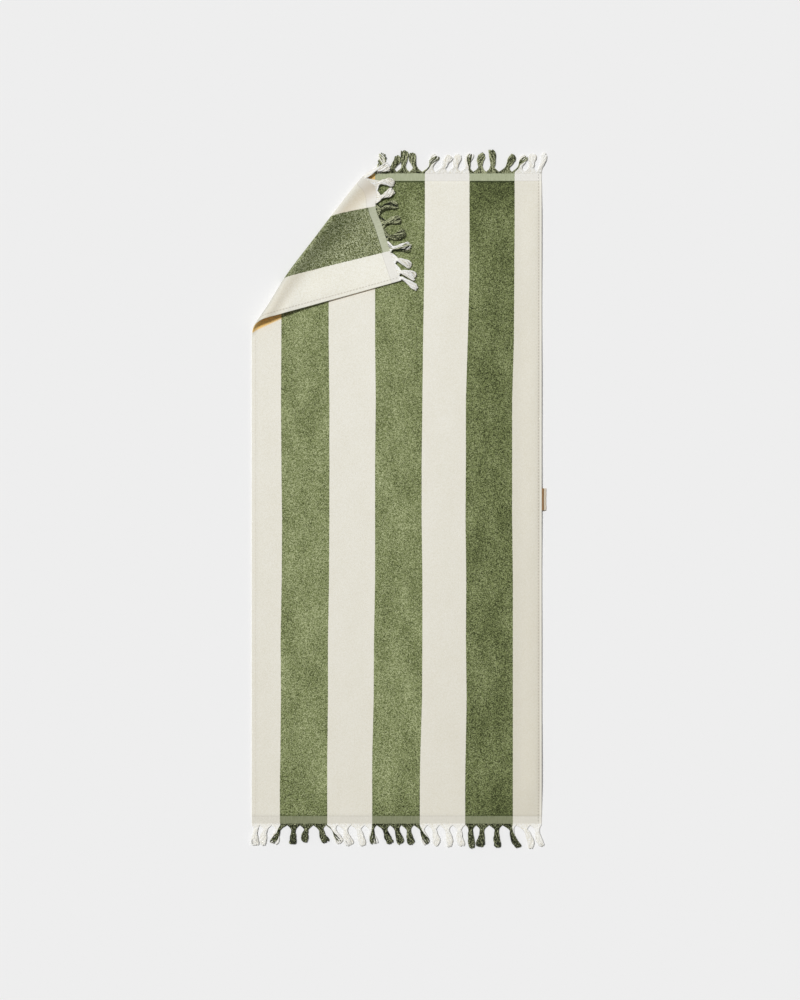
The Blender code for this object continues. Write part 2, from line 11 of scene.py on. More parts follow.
import bpy
import numpy as np
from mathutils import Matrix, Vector


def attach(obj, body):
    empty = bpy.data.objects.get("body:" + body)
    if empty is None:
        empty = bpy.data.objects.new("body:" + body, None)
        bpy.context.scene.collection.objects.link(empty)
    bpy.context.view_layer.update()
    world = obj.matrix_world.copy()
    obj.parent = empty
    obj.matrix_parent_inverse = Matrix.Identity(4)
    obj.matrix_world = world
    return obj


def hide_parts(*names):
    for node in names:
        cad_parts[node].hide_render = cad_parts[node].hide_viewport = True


bl_info = {
    "name": "Striped Beach Towel",
    "version": (1, 0, 0),
    "blender": (4, 5, 0),
    "location": "View3D > Sidebar > Towel",
    "description": "Makes the cloth, stitching, fringes and tab of a striped beach towel",
    "category": "Add Mesh",
}

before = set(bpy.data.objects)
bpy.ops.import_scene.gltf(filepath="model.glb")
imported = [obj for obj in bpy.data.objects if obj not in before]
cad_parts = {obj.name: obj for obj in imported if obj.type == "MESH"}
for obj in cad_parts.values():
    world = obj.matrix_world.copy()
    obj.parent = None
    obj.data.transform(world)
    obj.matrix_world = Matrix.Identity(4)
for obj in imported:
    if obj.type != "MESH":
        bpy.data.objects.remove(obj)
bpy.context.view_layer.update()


def table(names, *rows):
    """A table's columns by name, each as an array."""
    return dict(zip(names.split(), np.array(rows, dtype=float).T))


# ---- the cloth's sizes, as its solid has them
WIDTH = 0.800
LENGTH = 1.800
LEFT = -WIDTH / 2
RIGHT = WIDTH / 2
TOP = LENGTH / 2
BOTTOM = -LENGTH / 2
PILE_THICK = 0.0030
END_HEM = 0.0235
END_HEM_THICK = 0.0022
SIDE_HEM = 0.0120
SIDE_HEM_THICK = 0.0034
HEM_STEP = 0.0030
LAYER_GAP = 0.0010

# The turned corner: distances up the fold from the foot of the corner's square, from the
# flat corner to the fold's outer edge, and the roll's outer radius.
ACROSS_FOLD = (0.8, -0.6)
ALONG_FOLD = (0.6, 0.8)
FOLD = table(
    "along set_in radius",
    (-0.350, 0.2590, 0.0150), (-0.280, 0.2555, 0.0125), (-0.180, 0.2460, 0.0085),
    (-0.047, 0.2460, 0.0068), (0.086, 0.2470, 0.0068), (0.130, 0.2480, 0.0078),
    (0.171, 0.2515, 0.0090), (0.210, 0.2650, 0.0095))
NARROWEST = 0.0068
# Where each warp of the turned part ends, from the top left corner of the flat cloth.
TURNED = table(
    "warp across down",
    (0.000, 0.4080, 0.2990), (0.0816, 0.3810, 0.2155), (0.1465, 0.3590, 0.1455),
    (0.2130, 0.3412, 0.0920), (0.2410, 0.3430, 0.0640), (0.2690, 0.3400, 0.0390),
    (0.2890, 0.3300, 0.0240))
# The turned part comes down over this length of each warp, and over more where the roll is
# wider than its narrowest: that many times the difference in radius.
SETTLE = 0.070
SETTLE_MORE = 9.0
MERGE = 0.020                  # a warp with less than this left past the roll runs straight on
UNFOLDED = 0.0046              # the fold meets the end this far past the hem, or not at all
# A soft ridge along the turned part: its warp, its height and how far it spreads.
RIDGE_WARP = 0.205
RIDGE_RISE = 0.0022
RIDGE_SPREAD = 0.030
# The turned side hem stands up beside the fold's mouth: by how much, over how many warps,
# from where and over what length, and from where, over what length and by what share it
# comes down again.
MOUTH_UP = 0.0090
MOUTH_WARPS = 0.075
MOUTH_RISES = (0.020, 0.045)
MOUTH_FALLS = (0.065, 0.160, 0.68)
# The right margin stands off the floor: by how much at most, from where and over what length,
# and over what length and by what share it comes down at the edge.  Its waves along the edge
# are a share, radians a metre and a start; the ridge ends over the last stretch at each end.
MARGIN_UP = 0.0092
MARGIN_RISES = (0.066, 0.050)
MARGIN_FALLS = (0.016, 0.35)
MARGIN_MEAN = 0.72
MARGIN_WAVES = ((0.16, 7.1, 0.7), (0.12, 17.3, 2.0))
MARGIN_ENDS = 0.12
# The pile's slow unevenness: radians a metre across and along, and a start.  It is level at
# the rim.
PILE_WAVES = ((31, 9, 0.4), (-23, 17, 1.9), (58, 41, 2.2), (-47, 73, 0.9))
PILE_LEVEL_RIM = 0.05

# ---- stripes
STRIPE = 0.128                 # a stripe's width; the outer two are narrower
JAGGED = 0.0022                # how far a stripe's edge strays, about a tuft
# Where the six stripe edges run, from the left edge, at places down from the top hem: the
# cloth's sides are straight but its stripes lean and waver between them.
STRIPES = table(
    "down edge_1 edge_2 edge_3 edge_4 edge_5 edge_6",
    (0.130, 0.081, 0.212, 0.340, 0.478, 0.601, 0.726),
    (0.296, 0.081, 0.212, 0.340, 0.476, 0.601, 0.725),
    (0.462, 0.081, 0.212, 0.340, 0.473, 0.596, 0.724),
    (0.628, 0.080, 0.214, 0.342, 0.471, 0.591, 0.719),
    (0.794, 0.081, 0.214, 0.340, 0.469, 0.591, 0.719),
    (0.959, 0.083, 0.214, 0.340, 0.469, 0.590, 0.719),
    (1.125, 0.082, 0.213, 0.340, 0.471, 0.592, 0.721),
    (1.291, 0.079, 0.210, 0.337, 0.471, 0.591, 0.721),
    (1.457, 0.080, 0.210, 0.336, 0.470, 0.593, 0.721),
    (1.623, 0.078, 0.208, 0.332, 0.465, 0.590, 0.721),
    (1.706, 0.077, 0.208, 0.332, 0.464, 0.589, 0.721))

# ---- the terry's pattern
TUFT = 0.0017                  # a tuft's or loop's width
BAND = 0.0222                  # the flat-woven end bands' width
BAND_THREAD = 0.0014           # real ones are about half this; drawn coarser, so that they show
STITCH_IN = 0.0090             # the side hems' stitches, from the cloth's edge
STITCH_FROM_HEM = 0.004        # and from the end hems
STITCH_DASH = 0.0085           # from one dash of the painted shade along the stitches to the next
SEAM_SHADE_HALF = 0.0016             # half the width of the painted shade along the stitches
STEP_HALF = 0.0010             # half the width of the painted shade at the step where pile meets band
EDGE_HIGHLIGHT = 0.0055              # the width of the painted highlight along the right edge
# The fold's lower mouth: above this sloping line the front side, in the fold's shadow, gets a
# painted warm glow.
MOUTH_SLOPE = 0.465
MOUTH_FROM = 0.4643 + MOUTH_SLOPE * 0.3892
# Each side's looks: the colours of its cream pile from low to high, and of its end bands'
# threads (green and cream at the top, green and cream at the bottom); how much single tufts
# differ; their height; its sheen; how much wider a green band is, and how far its step's
# painted shade moves into the pile and widens; the painted shade of the top green step and
# along the stitches.
SIDES = {
    "velour_front": dict(
        reverse=False, creams=("#E9E5D6", "#F0EDE1", "#F6F4EB"),
        bands=(("#989F7C", "#CDD3B4"), ("#F1EEE5", "#FCFAF5"),
               ("#6C7153", "#A1A584"), ("#DFDBCD", "#EFEBE0")),
        tufts_differ=0.84, tuft_height=0.0003, sheen=0.12, green_band=0.0,
        green_step=(0.0022, 0.0016), top_step=0.42, stitches=0.05),
    "loop_pile_reverse": dict(
        reverse=True, creams=("#EBE7D8", "#F2F0E3", "#F7F5EC"),
        bands=(("#ADB294", "#DADDC5"), ("#EFECE2", "#FCFAF4"),
               ("#6E7355", "#A3A786"), ("#D9D4C5", "#EAE6DA")),
        tufts_differ=1.10, tuft_height=0.0004, sheen=0.02, green_band=-0.0030,
        green_step=(0.0, 0.0), top_step=0.20, stitches=0.22),
}
REVERSE_GREENS = ("#363E22", "#7D8358", "#C2C7A4")

# ---- tassels
ON_CLOTH = PILE_THICK + 0.0005
NECK_OUT = 0.0155              # from the hem to a tassel's narrowest place
NECK_LEAN = 0.25               # a neck's share of its tip's lean
ROOT_GAP = 0.0008              # half the gap between two tassels' roots
ROOT_OUT = (-0.0015, 0.0020)   # a root's two stations, from the hem outward
ROOT_DEPTH = 0.55              # its height in the cloth, as a share of the thickness
# A narrow root makes a thinner tassel: the least share, and the root that would add one more.
THIN_ROOT = (0.45, 0.060)
# The station between root and neck: its share of the way in x, y and z, and what it has of
# the whole tassel's lean.
COLLAR = np.array([0.66, 0.52, 0.50])
COLLAR_LAG = np.array([-0.10, 0.0, 0.0])
STRAY = 0.00035                # how far a yarn strays from its place in the bundle
BOTTOM_TASSELS = table(
    "root_end tip out",
    (0.021, 0.012, 0.058), (0.054, 0.032, 0.058), (0.097, 0.058, 0.053),
    (0.132, 0.113, 0.055), (0.169, 0.147, 0.050), (0.204, 0.202, 0.051),
    (0.236, 0.245, 0.051), (0.273, 0.271, 0.058), (0.311, 0.303, 0.060),
    (0.344, 0.340, 0.053), (0.381, 0.384, 0.053), (0.412, 0.412, 0.053),
    (0.447, 0.442, 0.055), (0.485, 0.481, 0.055), (0.518, 0.509, 0.060),
    (0.554, 0.545, 0.062), (0.588, 0.578, 0.060), (0.619, 0.603, 0.066),
    (0.655, 0.630, 0.062), (0.692, 0.683, 0.064), (0.730, 0.738, 0.064),
    (0.769, 0.772, 0.066), (0.800, 0.799, 0.061))
TOP_FIRST = 0.334
TOP_TASSELS = table(
    "root_end tip out",
    (0.365, 0.362, 0.053), (0.400, 0.405, 0.047), (0.435, 0.422, 0.061),
    (0.470, 0.442, 0.055), (0.506, 0.512, 0.047), (0.541, 0.547, 0.047),
    (0.576, 0.572, 0.050), (0.612, 0.603, 0.052), (0.647, 0.637, 0.055),
    (0.683, 0.659, 0.063), (0.718, 0.722, 0.050), (0.753, 0.756, 0.047),
    (0.787, 0.777, 0.052), (0.800, 0.809, 0.055))
TURNED_TASSELS = table(
    "root_end neck neck_down tip tip_down neck_rest tip_rest bow",
    (0.011, 0.415, 0.292, 0.456, 0.321, 0.0085, ON_CLOTH, 0.03),
    (0.046, 0.411, 0.275, 0.452, 0.289, 0.0085, ON_CLOTH, 0.06),
    (0.075, 0.402, 0.241, 0.440, 0.257, 0.0085, ON_CLOTH, 0.03),
    (0.105, 0.390, 0.209, 0.440, 0.206, 0.0085, ON_CLOTH, 0.02),
    (0.137, 0.378, 0.177, 0.420, 0.157, 0.0085, ON_CLOTH, -0.20),
    (0.178, 0.370, 0.138, 0.411, 0.130, 0.0085, ON_CLOTH, 0.09),
    (0.220, 0.358, 0.101, 0.403, 0.090, 0.0085, ON_CLOTH, 0.13),
    (0.256, 0.358, 0.068, 0.390, 0.048, 0.0085, ON_CLOTH, -0.05),
    (0.289, 0.353, 0.029, 0.393, 0.031, 0.0080, ON_CLOTH, 0.10),
    (0.312, 0.342, -0.007, 0.380, -0.0155, 0.0090, 0.0070, 0.0))
# A yarn's stations along its tassel: the share of the way from neck to tip, the bundle's
# width and height there over its full ones, and the yarn's own thickness over its full one.
YARN = table(
    "share wide tall thick",
    (0.00, 0.60, 0.80, 0.88), (0.22, 0.68, 0.88, 0.94), (0.48, 0.90, 1.00, 1.00),
    (0.72, 1.00, 1.00, 1.00), (0.90, 0.94, 0.90, 1.00), (1.00, 0.76, 0.72, 0.92))
YARN_ROOT_THICK = (0.70, 0.76, 0.82)
# How each fringe lies.  vary is how far its yarns' shades differ, and darker takes shade from
# the green ones; splay, wide and tall are shares of the settings; flare widens a tuft towards
# its end; cut is how uneven and how round its end is; green says, for single tassels, which
# yarns of each three are green.
FRINGE_LOOKS = {
    "bottom_tassels": dict(seed=3, vary=0.5, darker=0.25, splay=2.0, wide=1.0, tall=1.0,
                           flare=0.0, cut=(0.045, 0.17), green={}),
    "top_tassels": dict(seed=5, vary=0.8, darker=-0.08, splay=1.0, wide=1.0, tall=1.0,
                        flare=0.0, cut=(0.045, 0.17), green={0: (1, 2)}),
    "turned_tassels": dict(seed=8, vary=1.3, darker=0.0, splay=1.6, wide=1.08, tall=1.45,
                           flare=0.5, cut=(0.12, 0.04), green={3: (0,), 6: (0, 1, 2)}),
}

# ---- the tab
PIECE_GAP = 0.0003
TAB_FROM_TOP = 0.872
TAB_LENGTH = 0.061
TAB_OUT = 0.0130
TAB_HEIGHT = 0.0018
TAB_FLAT = 0.004               # its first stretch, next to the cloth
TAB_BAND = 0.0068              # the tape's tan part, from the cloth's edge outward
TAB_FOLD = 0.0012              # its outer fold, drawn a darker tan
TAPE_RIB = 0.0012

# ---- the camera
VIEW_HEIGHT = 2.765            # what the picture takes in, from its lower to its upper edge
VIEW_CENTRE = (0.0090, -0.0042)
LENS = 85.0
SENSOR = 36.0
FLOOR_HALF = 40.0
FLOOR_DOWN = 0.0003            # the floor lies this far under the cloth


# ---- curves
def eased(t):
    """0 to 1 with level ends: t squared times (3 - 2t)."""
    t = np.clip(t, 0.0, 1.0)
    return t * t * (3 - 2 * t)


def smooth_curve(at, known_at, known):
    """A smooth curve through known values: cubic pieces whose slopes are the mean ones."""
    slopes = np.gradient(known, known_at)
    at = np.clip(at, known_at[0], known_at[-1])
    piece = np.clip(np.searchsorted(known_at, at) - 1, 0, len(known_at) - 2)
    span = known_at[piece + 1] - known_at[piece]
    t = (at - known_at[piece]) / span
    start = (1 + 2 * t) * (1 - t) ** 2 * known[piece] + t * (1 - t) ** 2 * span * slopes[piece]
    end = t * t * (3 - 2 * t) * known[piece + 1] + t * t * (t - 1) * span * slopes[piece + 1]
    return start + end


def smooth_path(stations, count):
    """Points along each path: cubic pieces through its stations, each slope being half the
    step between the stations on both sides."""
    slopes = np.gradient(stations, axis=-2)
    last = stations.shape[-2] - 1
    place = np.linspace(0, last, count)
    piece = np.minimum(place.astype(int), last - 1)
    t = (place - piece)[:, None]
    a, b = stations[..., piece, :], stations[..., piece + 1, :]
    m, n = slopes[..., piece, :], slopes[..., piece + 1, :]
    return ((1 + 2 * t) * (1 - t) ** 2 * a + t * (1 - t) ** 2 * m
            + t * t * (3 - 2 * t) * b + t * t * (t - 1) * n)


def unit(vectors):
    """Vectors over their lengths, but for those of no length."""
    return vectors / np.maximum(np.linalg.norm(vectors, axis=-1, keepdims=True), 1e-9)


# ---- the cloth's shape
def fold_along(x, y):
    """How far up the fold a flat place is: its steps from the corner, times the fold's way."""
    return (x - LEFT) * ALONG_FOLD[0] + (y - TOP) * ALONG_FOLD[1]


def fold_value(along, name):
    """The fold's set-in or radius at a place along it, on a smooth curve through its table."""
    return smooth_curve(along, FOLD["along"], FOLD[name])


def turn_start(x):
    """The y at which each warp leaves the floor, found by closing in on the roll's foot."""
    y = np.full_like(x, TOP - 0.2)
    for _ in range(40):
        along = fold_along(x, y)
        foot = fold_value(along, "set_in") + fold_value(along, "radius")
        y = TOP - (foot - (x - LEFT) * ACROSS_FOLD[0]) / -ACROSS_FOLD[1]
    return y


def plan(along, across):
    """A place on the floor from its distances up the fold and into the cloth."""
    x = LEFT + along * ALONG_FOLD[0] + across * ACROSS_FOLD[0]
    y = TOP + along * ALONG_FOLD[1] + across * ACROSS_FOLD[1]
    return x, y


def margin_ridge(x, y):
    """How far the right margin stands off the floor: up over 5 cm, down by about a third over
    the last 16 mm, by an amount that waves along the edge and is nothing at both ends."""
    wave = sum((share * np.sin(often * y + start) for share, often, start in MARGIN_WAVES),
               MARGIN_MEAN)
    wave = wave * eased((LENGTH / 2 - np.abs(y)) / MARGIN_ENDS)
    up = eased((x - RIGHT + MARGIN_RISES[0]) / MARGIN_RISES[1])
    over = eased((x - RIGHT + MARGIN_FALLS[0]) / MARGIN_FALLS[0])
    return MARGIN_UP * wave * up * (1 - MARGIN_FALLS[1] * over)


def reverse_side(x, y):
    """Where the flat cloth's reverse side lies.  A warp runs flat to the fold, climbs the
    roll as a helix, z = radius (1 - cos angle), and then runs on a bowed chord to its own
    end of the turned hem while its height eases down to one layer, steeply at first and
    later near the mouth.  The right margin stands up in a low ridge."""
    x = np.asarray(x, dtype=float)
    y = np.asarray(y, dtype=float)
    start = turn_start(x)
    past = y - start
    along_start = fold_along(x, start)
    radius = fold_value(along_start, "radius")
    turn = math.pi * radius / -ACROSS_FOLD[1]
    climb = ALONG_FOLD[1] / -ACROSS_FOLD[1]

    angle = math.pi * np.clip(past / turn, 0.0, 1.0)
    along = along_start + climb * radius * angle
    foot = fold_value(along, "set_in") + fold_value(along, "radius")
    foot_at_start = fold_value(along_start, "set_in") + radius
    lead = eased(angle / math.pi)
    roll_x, roll_y = plan(along, foot_at_start * (1 - lead) + foot * lead
                          - radius * np.sin(angle))
    roll_z = radius * (1 - np.cos(angle))

    left = np.maximum(TOP - start - turn, 1e-5)
    went = np.maximum(past - turn, 0.0)
    f = went / left
    way_x = ALONG_FOLD[0] * ALONG_FOLD[1] + ACROSS_FOLD[0] * -ACROSS_FOLD[1]
    way_y = ALONG_FOLD[1] * ALONG_FOLD[1] + ACROSS_FOLD[1] * -ACROSS_FOLD[1]
    hem_x = LEFT + smooth_curve(x - LEFT, TURNED["warp"], TURNED["across"])
    hem_y = TOP - smooth_curve(x - LEFT, TURNED["warp"], TURNED["down"])
    own = eased(left / MERGE)
    chord_x = (hem_x - roll_x) * own + way_x * left * (1 - own)
    chord_y = (hem_y - roll_y) * own + way_y * left * (1 - own)
    reach = np.hypot(chord_x, chord_y)
    bow = np.where(f < 1, f * (1 - f) ** 2, 0.0)
    turned_x = roll_x + chord_x * f + (way_x * reach - chord_x) * bow
    turned_y = roll_y + chord_y * f + (way_y * reach - chord_y) * bow
    rest = 2 * PILE_THICK + LAYER_GAP
    share = np.minimum(went / (SETTLE + SETTLE_MORE * (radius - NARROWEST)), 1.0)
    down = eased(share * (2 - share))
    ridge = RIDGE_RISE * np.exp(-((x - LEFT - RIDGE_WARP) / RIDGE_SPREAD) ** 2)
    turned_z = 2 * radius + (rest + ridge - 2 * radius) * down
    up_from, up_over = MOUTH_RISES
    down_from, down_over, down_by = MOUTH_FALLS
    turned_z = turned_z + (MOUTH_UP * eased(1 - (x - LEFT) / MOUTH_WARPS)
                           * eased((went - up_from) / up_over)
                           * (1 - down_by * eased((went - down_from) / down_over)))

    flat = past <= 0
    turned = past > turn
    out = np.stack([np.where(flat, x, np.where(turned, turned_x, roll_x)),
                    np.where(flat, y, np.where(turned, turned_y, roll_y)),
                    np.where(flat, 0.0, np.where(turned, turned_z, roll_z))], axis=-1)
    unfolded = start > TOP + UNFOLDED
    out = np.where(unfolded[..., None], np.stack([x, y, np.zeros_like(x)], axis=-1), out)
    out[..., 2] += margin_ridge(x, y)
    return out


def thickness(x, y):
    """The pile's thickness, the thin end bands and the thick side bands."""
    from_end = np.minimum(TOP - y, y - BOTTOM)
    from_side = np.minimum(x - LEFT, RIGHT - x)
    side = eased((from_side - SIDE_HEM) / HEM_STEP)
    end = eased((from_end - END_HEM) / HEM_STEP)
    body = SIDE_HEM_THICK * (1 - side) + PILE_THICK * side
    return END_HEM_THICK * (1 - end) + body * end


def painted_shade_amounts(x, y):
    """How much painted shade the reverse side gets in a band beside the fold, from 0 to 1, by the
    distance in from the fold's outline: up over 2 cm, level to 2.4 cm and down over the next
    3 cm, or to 2.8 and over 5.6 cm on a green stripe.  And how much painted shade dims the lit
    crown of the roll: 1 at the outline and 0 from 1.8 cm in.  Both are 0 low down on the roll."""
    start = turn_start(x)
    radius = fold_value(fold_along(x, start), "radius")
    turn = math.pi * radius / -ACROSS_FOLD[1]
    angle = math.pi * np.clip((y - start) / turn, 0.0, 1.0)
    went = np.maximum(y - start - turn, 0.0)
    inward = radius * (1 - np.sin(angle)) - went * ACROSS_FOLD[1]
    green = on_green(x, y)
    level_to, down_over = np.where(green, 0.028, 0.024), np.where(green, 0.056, 0.030)
    shade = eased(inward / 0.020) * (1 - eased((inward - level_to) / down_over))
    crown = 1 - eased(inward / 0.018)
    off = (start > TOP + UNFOLDED) | (angle < math.pi / 3)
    return {"bend": np.where(off | (angle < math.pi / 2), 0.0, shade),
            "crown": np.where(off, 0.0, crown)}


def cloth_normal(x, y):
    """The unit normal on the front side: the cross product of two small steps."""
    step = 2e-4
    over = reverse_side(x + step, y) - reverse_side(x - step, y)
    up = reverse_side(x, y + step) - reverse_side(x, y - step)
    return unit(np.cross(over, up))


def both_sides(x, y):
    """The reverse and the front of the cloth: the front is one thickness along the normal."""
    x = np.asarray(x, dtype=float)
    y = np.asarray(y, dtype=float)
    back = reverse_side(x, y)
    return back, back + cloth_normal(x, y) * thickness(x, y)[..., None]


def undulation(x, y):
    """How uneven the pile lies, from -1 to 1: four slow waves that cross at odd angles."""
    return sum(np.sin(a * x + b * y + start) for a, b, start in PILE_WAVES) / 4


def warp_place(x, y):
    """The stripe pattern's own place across the cloth, from -0.4 to 0.4: between two stripe
    edges, straight from the measured pair to the even pair."""
    down, *edges = STRIPES.values()
    measured = [np.zeros_like(x), *(np.interp(TOP - y, down, edge) for edge in edges),
                np.full_like(x, WIDTH)]
    even = [0.0] + [WIDTH / 2 + STRIPE * (k - 2.5) for k in range(6)] + [WIDTH]
    place = x - LEFT
    out = np.zeros_like(x)
    for k in range(len(even) - 1):
        share = (place - measured[k]) / (measured[k + 1] - measured[k])
        inside = (share >= 0) & (share <= 1)
        out = np.where(inside, even[k] + share * (even[k + 1] - even[k]), out)
    return out + LEFT


def on_green(x, y):
    """Whether a place is on a green stripe: the first half of each pair of stripes is."""
    return ((warp_place(x, y) / STRIPE + 0.5) * 0.5 + 4) % 1 < 0.5


# ---- meshes
def mesh_object(name, points, faces, materials, uv=None, values=None, slots=None):
    """An object from arrays of points and of faces, with a UV and values for each point."""
    mesh = bpy.data.meshes.new(name)
    mesh.from_pydata(points.tolist(), [], faces)
    mesh.polygons.foreach_set("use_smooth", np.ones(len(mesh.polygons), dtype=bool))
    for one in materials:
        mesh.materials.append(one)
    if slots is not None:
        mesh.polygons.foreach_set("material_index", slots)
    if uv is not None:
        corner = np.zeros(len(mesh.loops), dtype=np.int32)
        mesh.loops.foreach_get("vertex_index", corner)
        layer = mesh.uv_layers.new(name="flat")
        layer.data.foreach_set("uv", uv[corner].astype(np.float32).ravel())
    for title, value in (values or {}).items():
        attribute = mesh.attributes.new(title, "FLOAT", "POINT")
        attribute.data.foreach_set("value", np.asarray(value, dtype=np.float32))
    mesh.update()
    made = bpy.data.objects.new(name, mesh)
    bpy.context.scene.collection.objects.link(made)
    return made


def grid_faces(rows, columns, first=0, flipped=False):
    """The quads of a grid of points, row by row, as an array of four indices."""
    i, j = np.meshgrid(np.arange(rows - 1), np.arange(columns - 1), indexing="ij")
    a = first + i * columns + j
    quads = np.stack([a, a + 1, a + columns + 1, a + columns], axis=-1).reshape(-1, 4)
    return quads[:, ::-1] if flipped else quads


# ---- materials
# What every node of these kinds is set to here.
USUAL = {"Mix": {"data_type": "RGBA"}, "MapRange": {"interpolation_type": "SMOOTHSTEP"},
         "UVMap": {"uv_map": "flat"}}


def linear(colour):
    """An sRGB hex colour, or a colour setting, as linear red, green, blue and alpha."""
    if not isinstance(colour, str):
        return (*colour, 1.0)
    parts = [int(colour[k:k + 2], 16) / 255 for k in (1, 3, 5)]
    return (*(c / 12.92 if c <= 0.04045 else ((c + 0.055) / 1.055) ** 2.4 for c in parts), 1.0)


def add_node(tree, kind, *values, named=None, out=(), colours=(), places=None, **settings):
    """Add a shader node with its settings and links, and give back its first output, or those
    that out names.  kind is its type's name after ShaderNode, or what a Math node does.  The
    values go into its open inputs in order, and those in named by their names; each is a
    number, a hex colour or the output that feeds it.  A colour ramp has its colours at their
    places, which are even unless they are given."""
    if kind.isupper():
        kind, settings["operation"] = "Math", kind
    made = tree.nodes.new("ShaderNode" + kind)
    for name, value in {**USUAL.get(kind, {}), **settings}.items():
        setattr(made, name, value)
    feeds = list(zip([one for one in made.inputs if one.enabled], values))
    feeds += [(made.inputs[name], value) for name, value in (named or {}).items()]
    for socket, value in feeds:
        if isinstance(value, bpy.types.NodeSocket):
            tree.links.new(value, socket)
        else:
            socket.default_value = linear(value) if isinstance(value, str) else value
    if colours:
        elements = made.color_ramp.elements
        while len(elements) < len(colours):
            elements.new(0.5)
        places = np.linspace(0, 1, len(colours)) if places is None else places
        for element, place, colour in zip(elements, places, colours):
            element.position = place
            element.color = linear(colour)
    found = [made.outputs[name] for name in out] or [o for o in made.outputs if o.enabled][:1]
    return found[0] if len(found) == 1 else found


def finished(name, finish, paint=None, *values):
    """A material.  finish is what is the same all over, on the shader's own sockets; paint
    draws its colour and, where it has one, its height in metres."""
    made = bpy.data.materials.new(name)
    made.use_nodes = True
    tree = made.node_tree
    shader = tree.nodes["Principled BSDF"]
    for socket, value in finish.items():
        shader.inputs[socket].default_value = value
    if paint:
        node = functools.partial(add_node, tree)
        colour, height = paint(node, *values)
        tree.links.new(colour, shader.inputs["Base Color"])
        if height is not None:
            bump = node("Bump", named={"Height": height, "Strength": 1.0, "Distance": 1.0})
            tree.links.new(bump, shader.inputs["Normal"])
    return made


def cloth_coordinates(node):
    """The flat cloth's own coordinates: both at once, the warp's place, and the place along
    it.  On a yarn they are the turn round it and the length along it."""
    flat = node("UVMap")
    return flat, *node("SeparateXYZ", flat, out=("X", "Y"))


def wave(node, place, period):
    """The sine of a place, from -1 to 1, once in each period."""
    return node("SINE", node("MULTIPLY", place, 2 * math.pi / period))


def drawn_out(node, flat, share):
    """The flat coordinates for a pattern that is drawn out along the warps: its scale along
    them is this share of its scale across."""
    return node("Mapping", named={"Vector": flat, "Scale": (1.0, share, 1.0)})


def stripe_mask(node, flat, across):
    """1 on the green stripes: where the place, in stripes, is in an even one.  Its edges are
    as jagged as the tufts are wide."""
    off = node("MULTIPLY_ADD", node("TexNoise", flat, 420.0, 1.0), JAGGED, -JAGGED / 2)
    turns = node("MULTIPLY_ADD", node("ADD", across, off), 0.5 / STRIPE, 0.25 + 4)
    return node("LESS_THAN", node("FRACT", turns), 0.5)


def painted_fold_shade(node, colour, green, across, along):
    """Painted shade on the reverse side beside the fold: brown on the cream, most on the
    second cream stripe, and dark on the green; and a grey painted shade over the lit crown."""
    inner = node("GREATER_THAN", across, -1.5 * STRIPE)
    share = node("MULTIPLY_ADD", green, 0.14, node("MULTIPLY_ADD", inner, 0.20, 0.20))
    # Painted shade beside the fold, as much as the attribute bend says.
    share = node("MULTIPLY", node("Attribute", attribute_name="bend", out=("Fac",)), share)
    colour = node("Mix", share, colour, node("Mix", green, "#C4AC80", "#2C3519"))
    # Painted shade over the roll's lit crown, as much as the attribute crown says.
    painted_crown_shade = node("MULTIPLY_ADD", green, -0.72, node("MULTIPLY_ADD", inner, -0.30, 0.72))
    painted_crown_shade = node("MULTIPLY", node("Attribute", attribute_name="crown", out=("Fac",)), painted_crown_shade)
    return node("Mix", painted_crown_shade, colour, "#BEBCB2")


def painted_mouth_glow(node, colour, green, across, along):
    """Painted light on the front side's cream in the two mouths of the fold, above a sloping line
    at the left and in a short stretch at the top: an amber glow painted where the fold's shadow
    falls, standing in for light that comes through the cloth."""
    edge = node("MULTIPLY_ADD", across, -MOUTH_SLOPE, along)
    mouth = node("MULTIPLY", node("MapRange", edge, MOUTH_FROM - 0.003, MOUTH_FROM + 0.004),
                 node("LESS_THAN", across, -0.30))
    corner = node("MULTIPLY", node("GREATER_THAN", along, 0.872),
                  node("COMPARE", across, -0.080, 0.026))
    painted_glow = node("MULTIPLY", node("MAXIMUM", mouth, corner), node("SUBTRACT", 1.0, green))
    # Painted light: the amber glow over the cream in the fold's shadow.
    return node("Mix", painted_glow, colour, "#F4CC80")


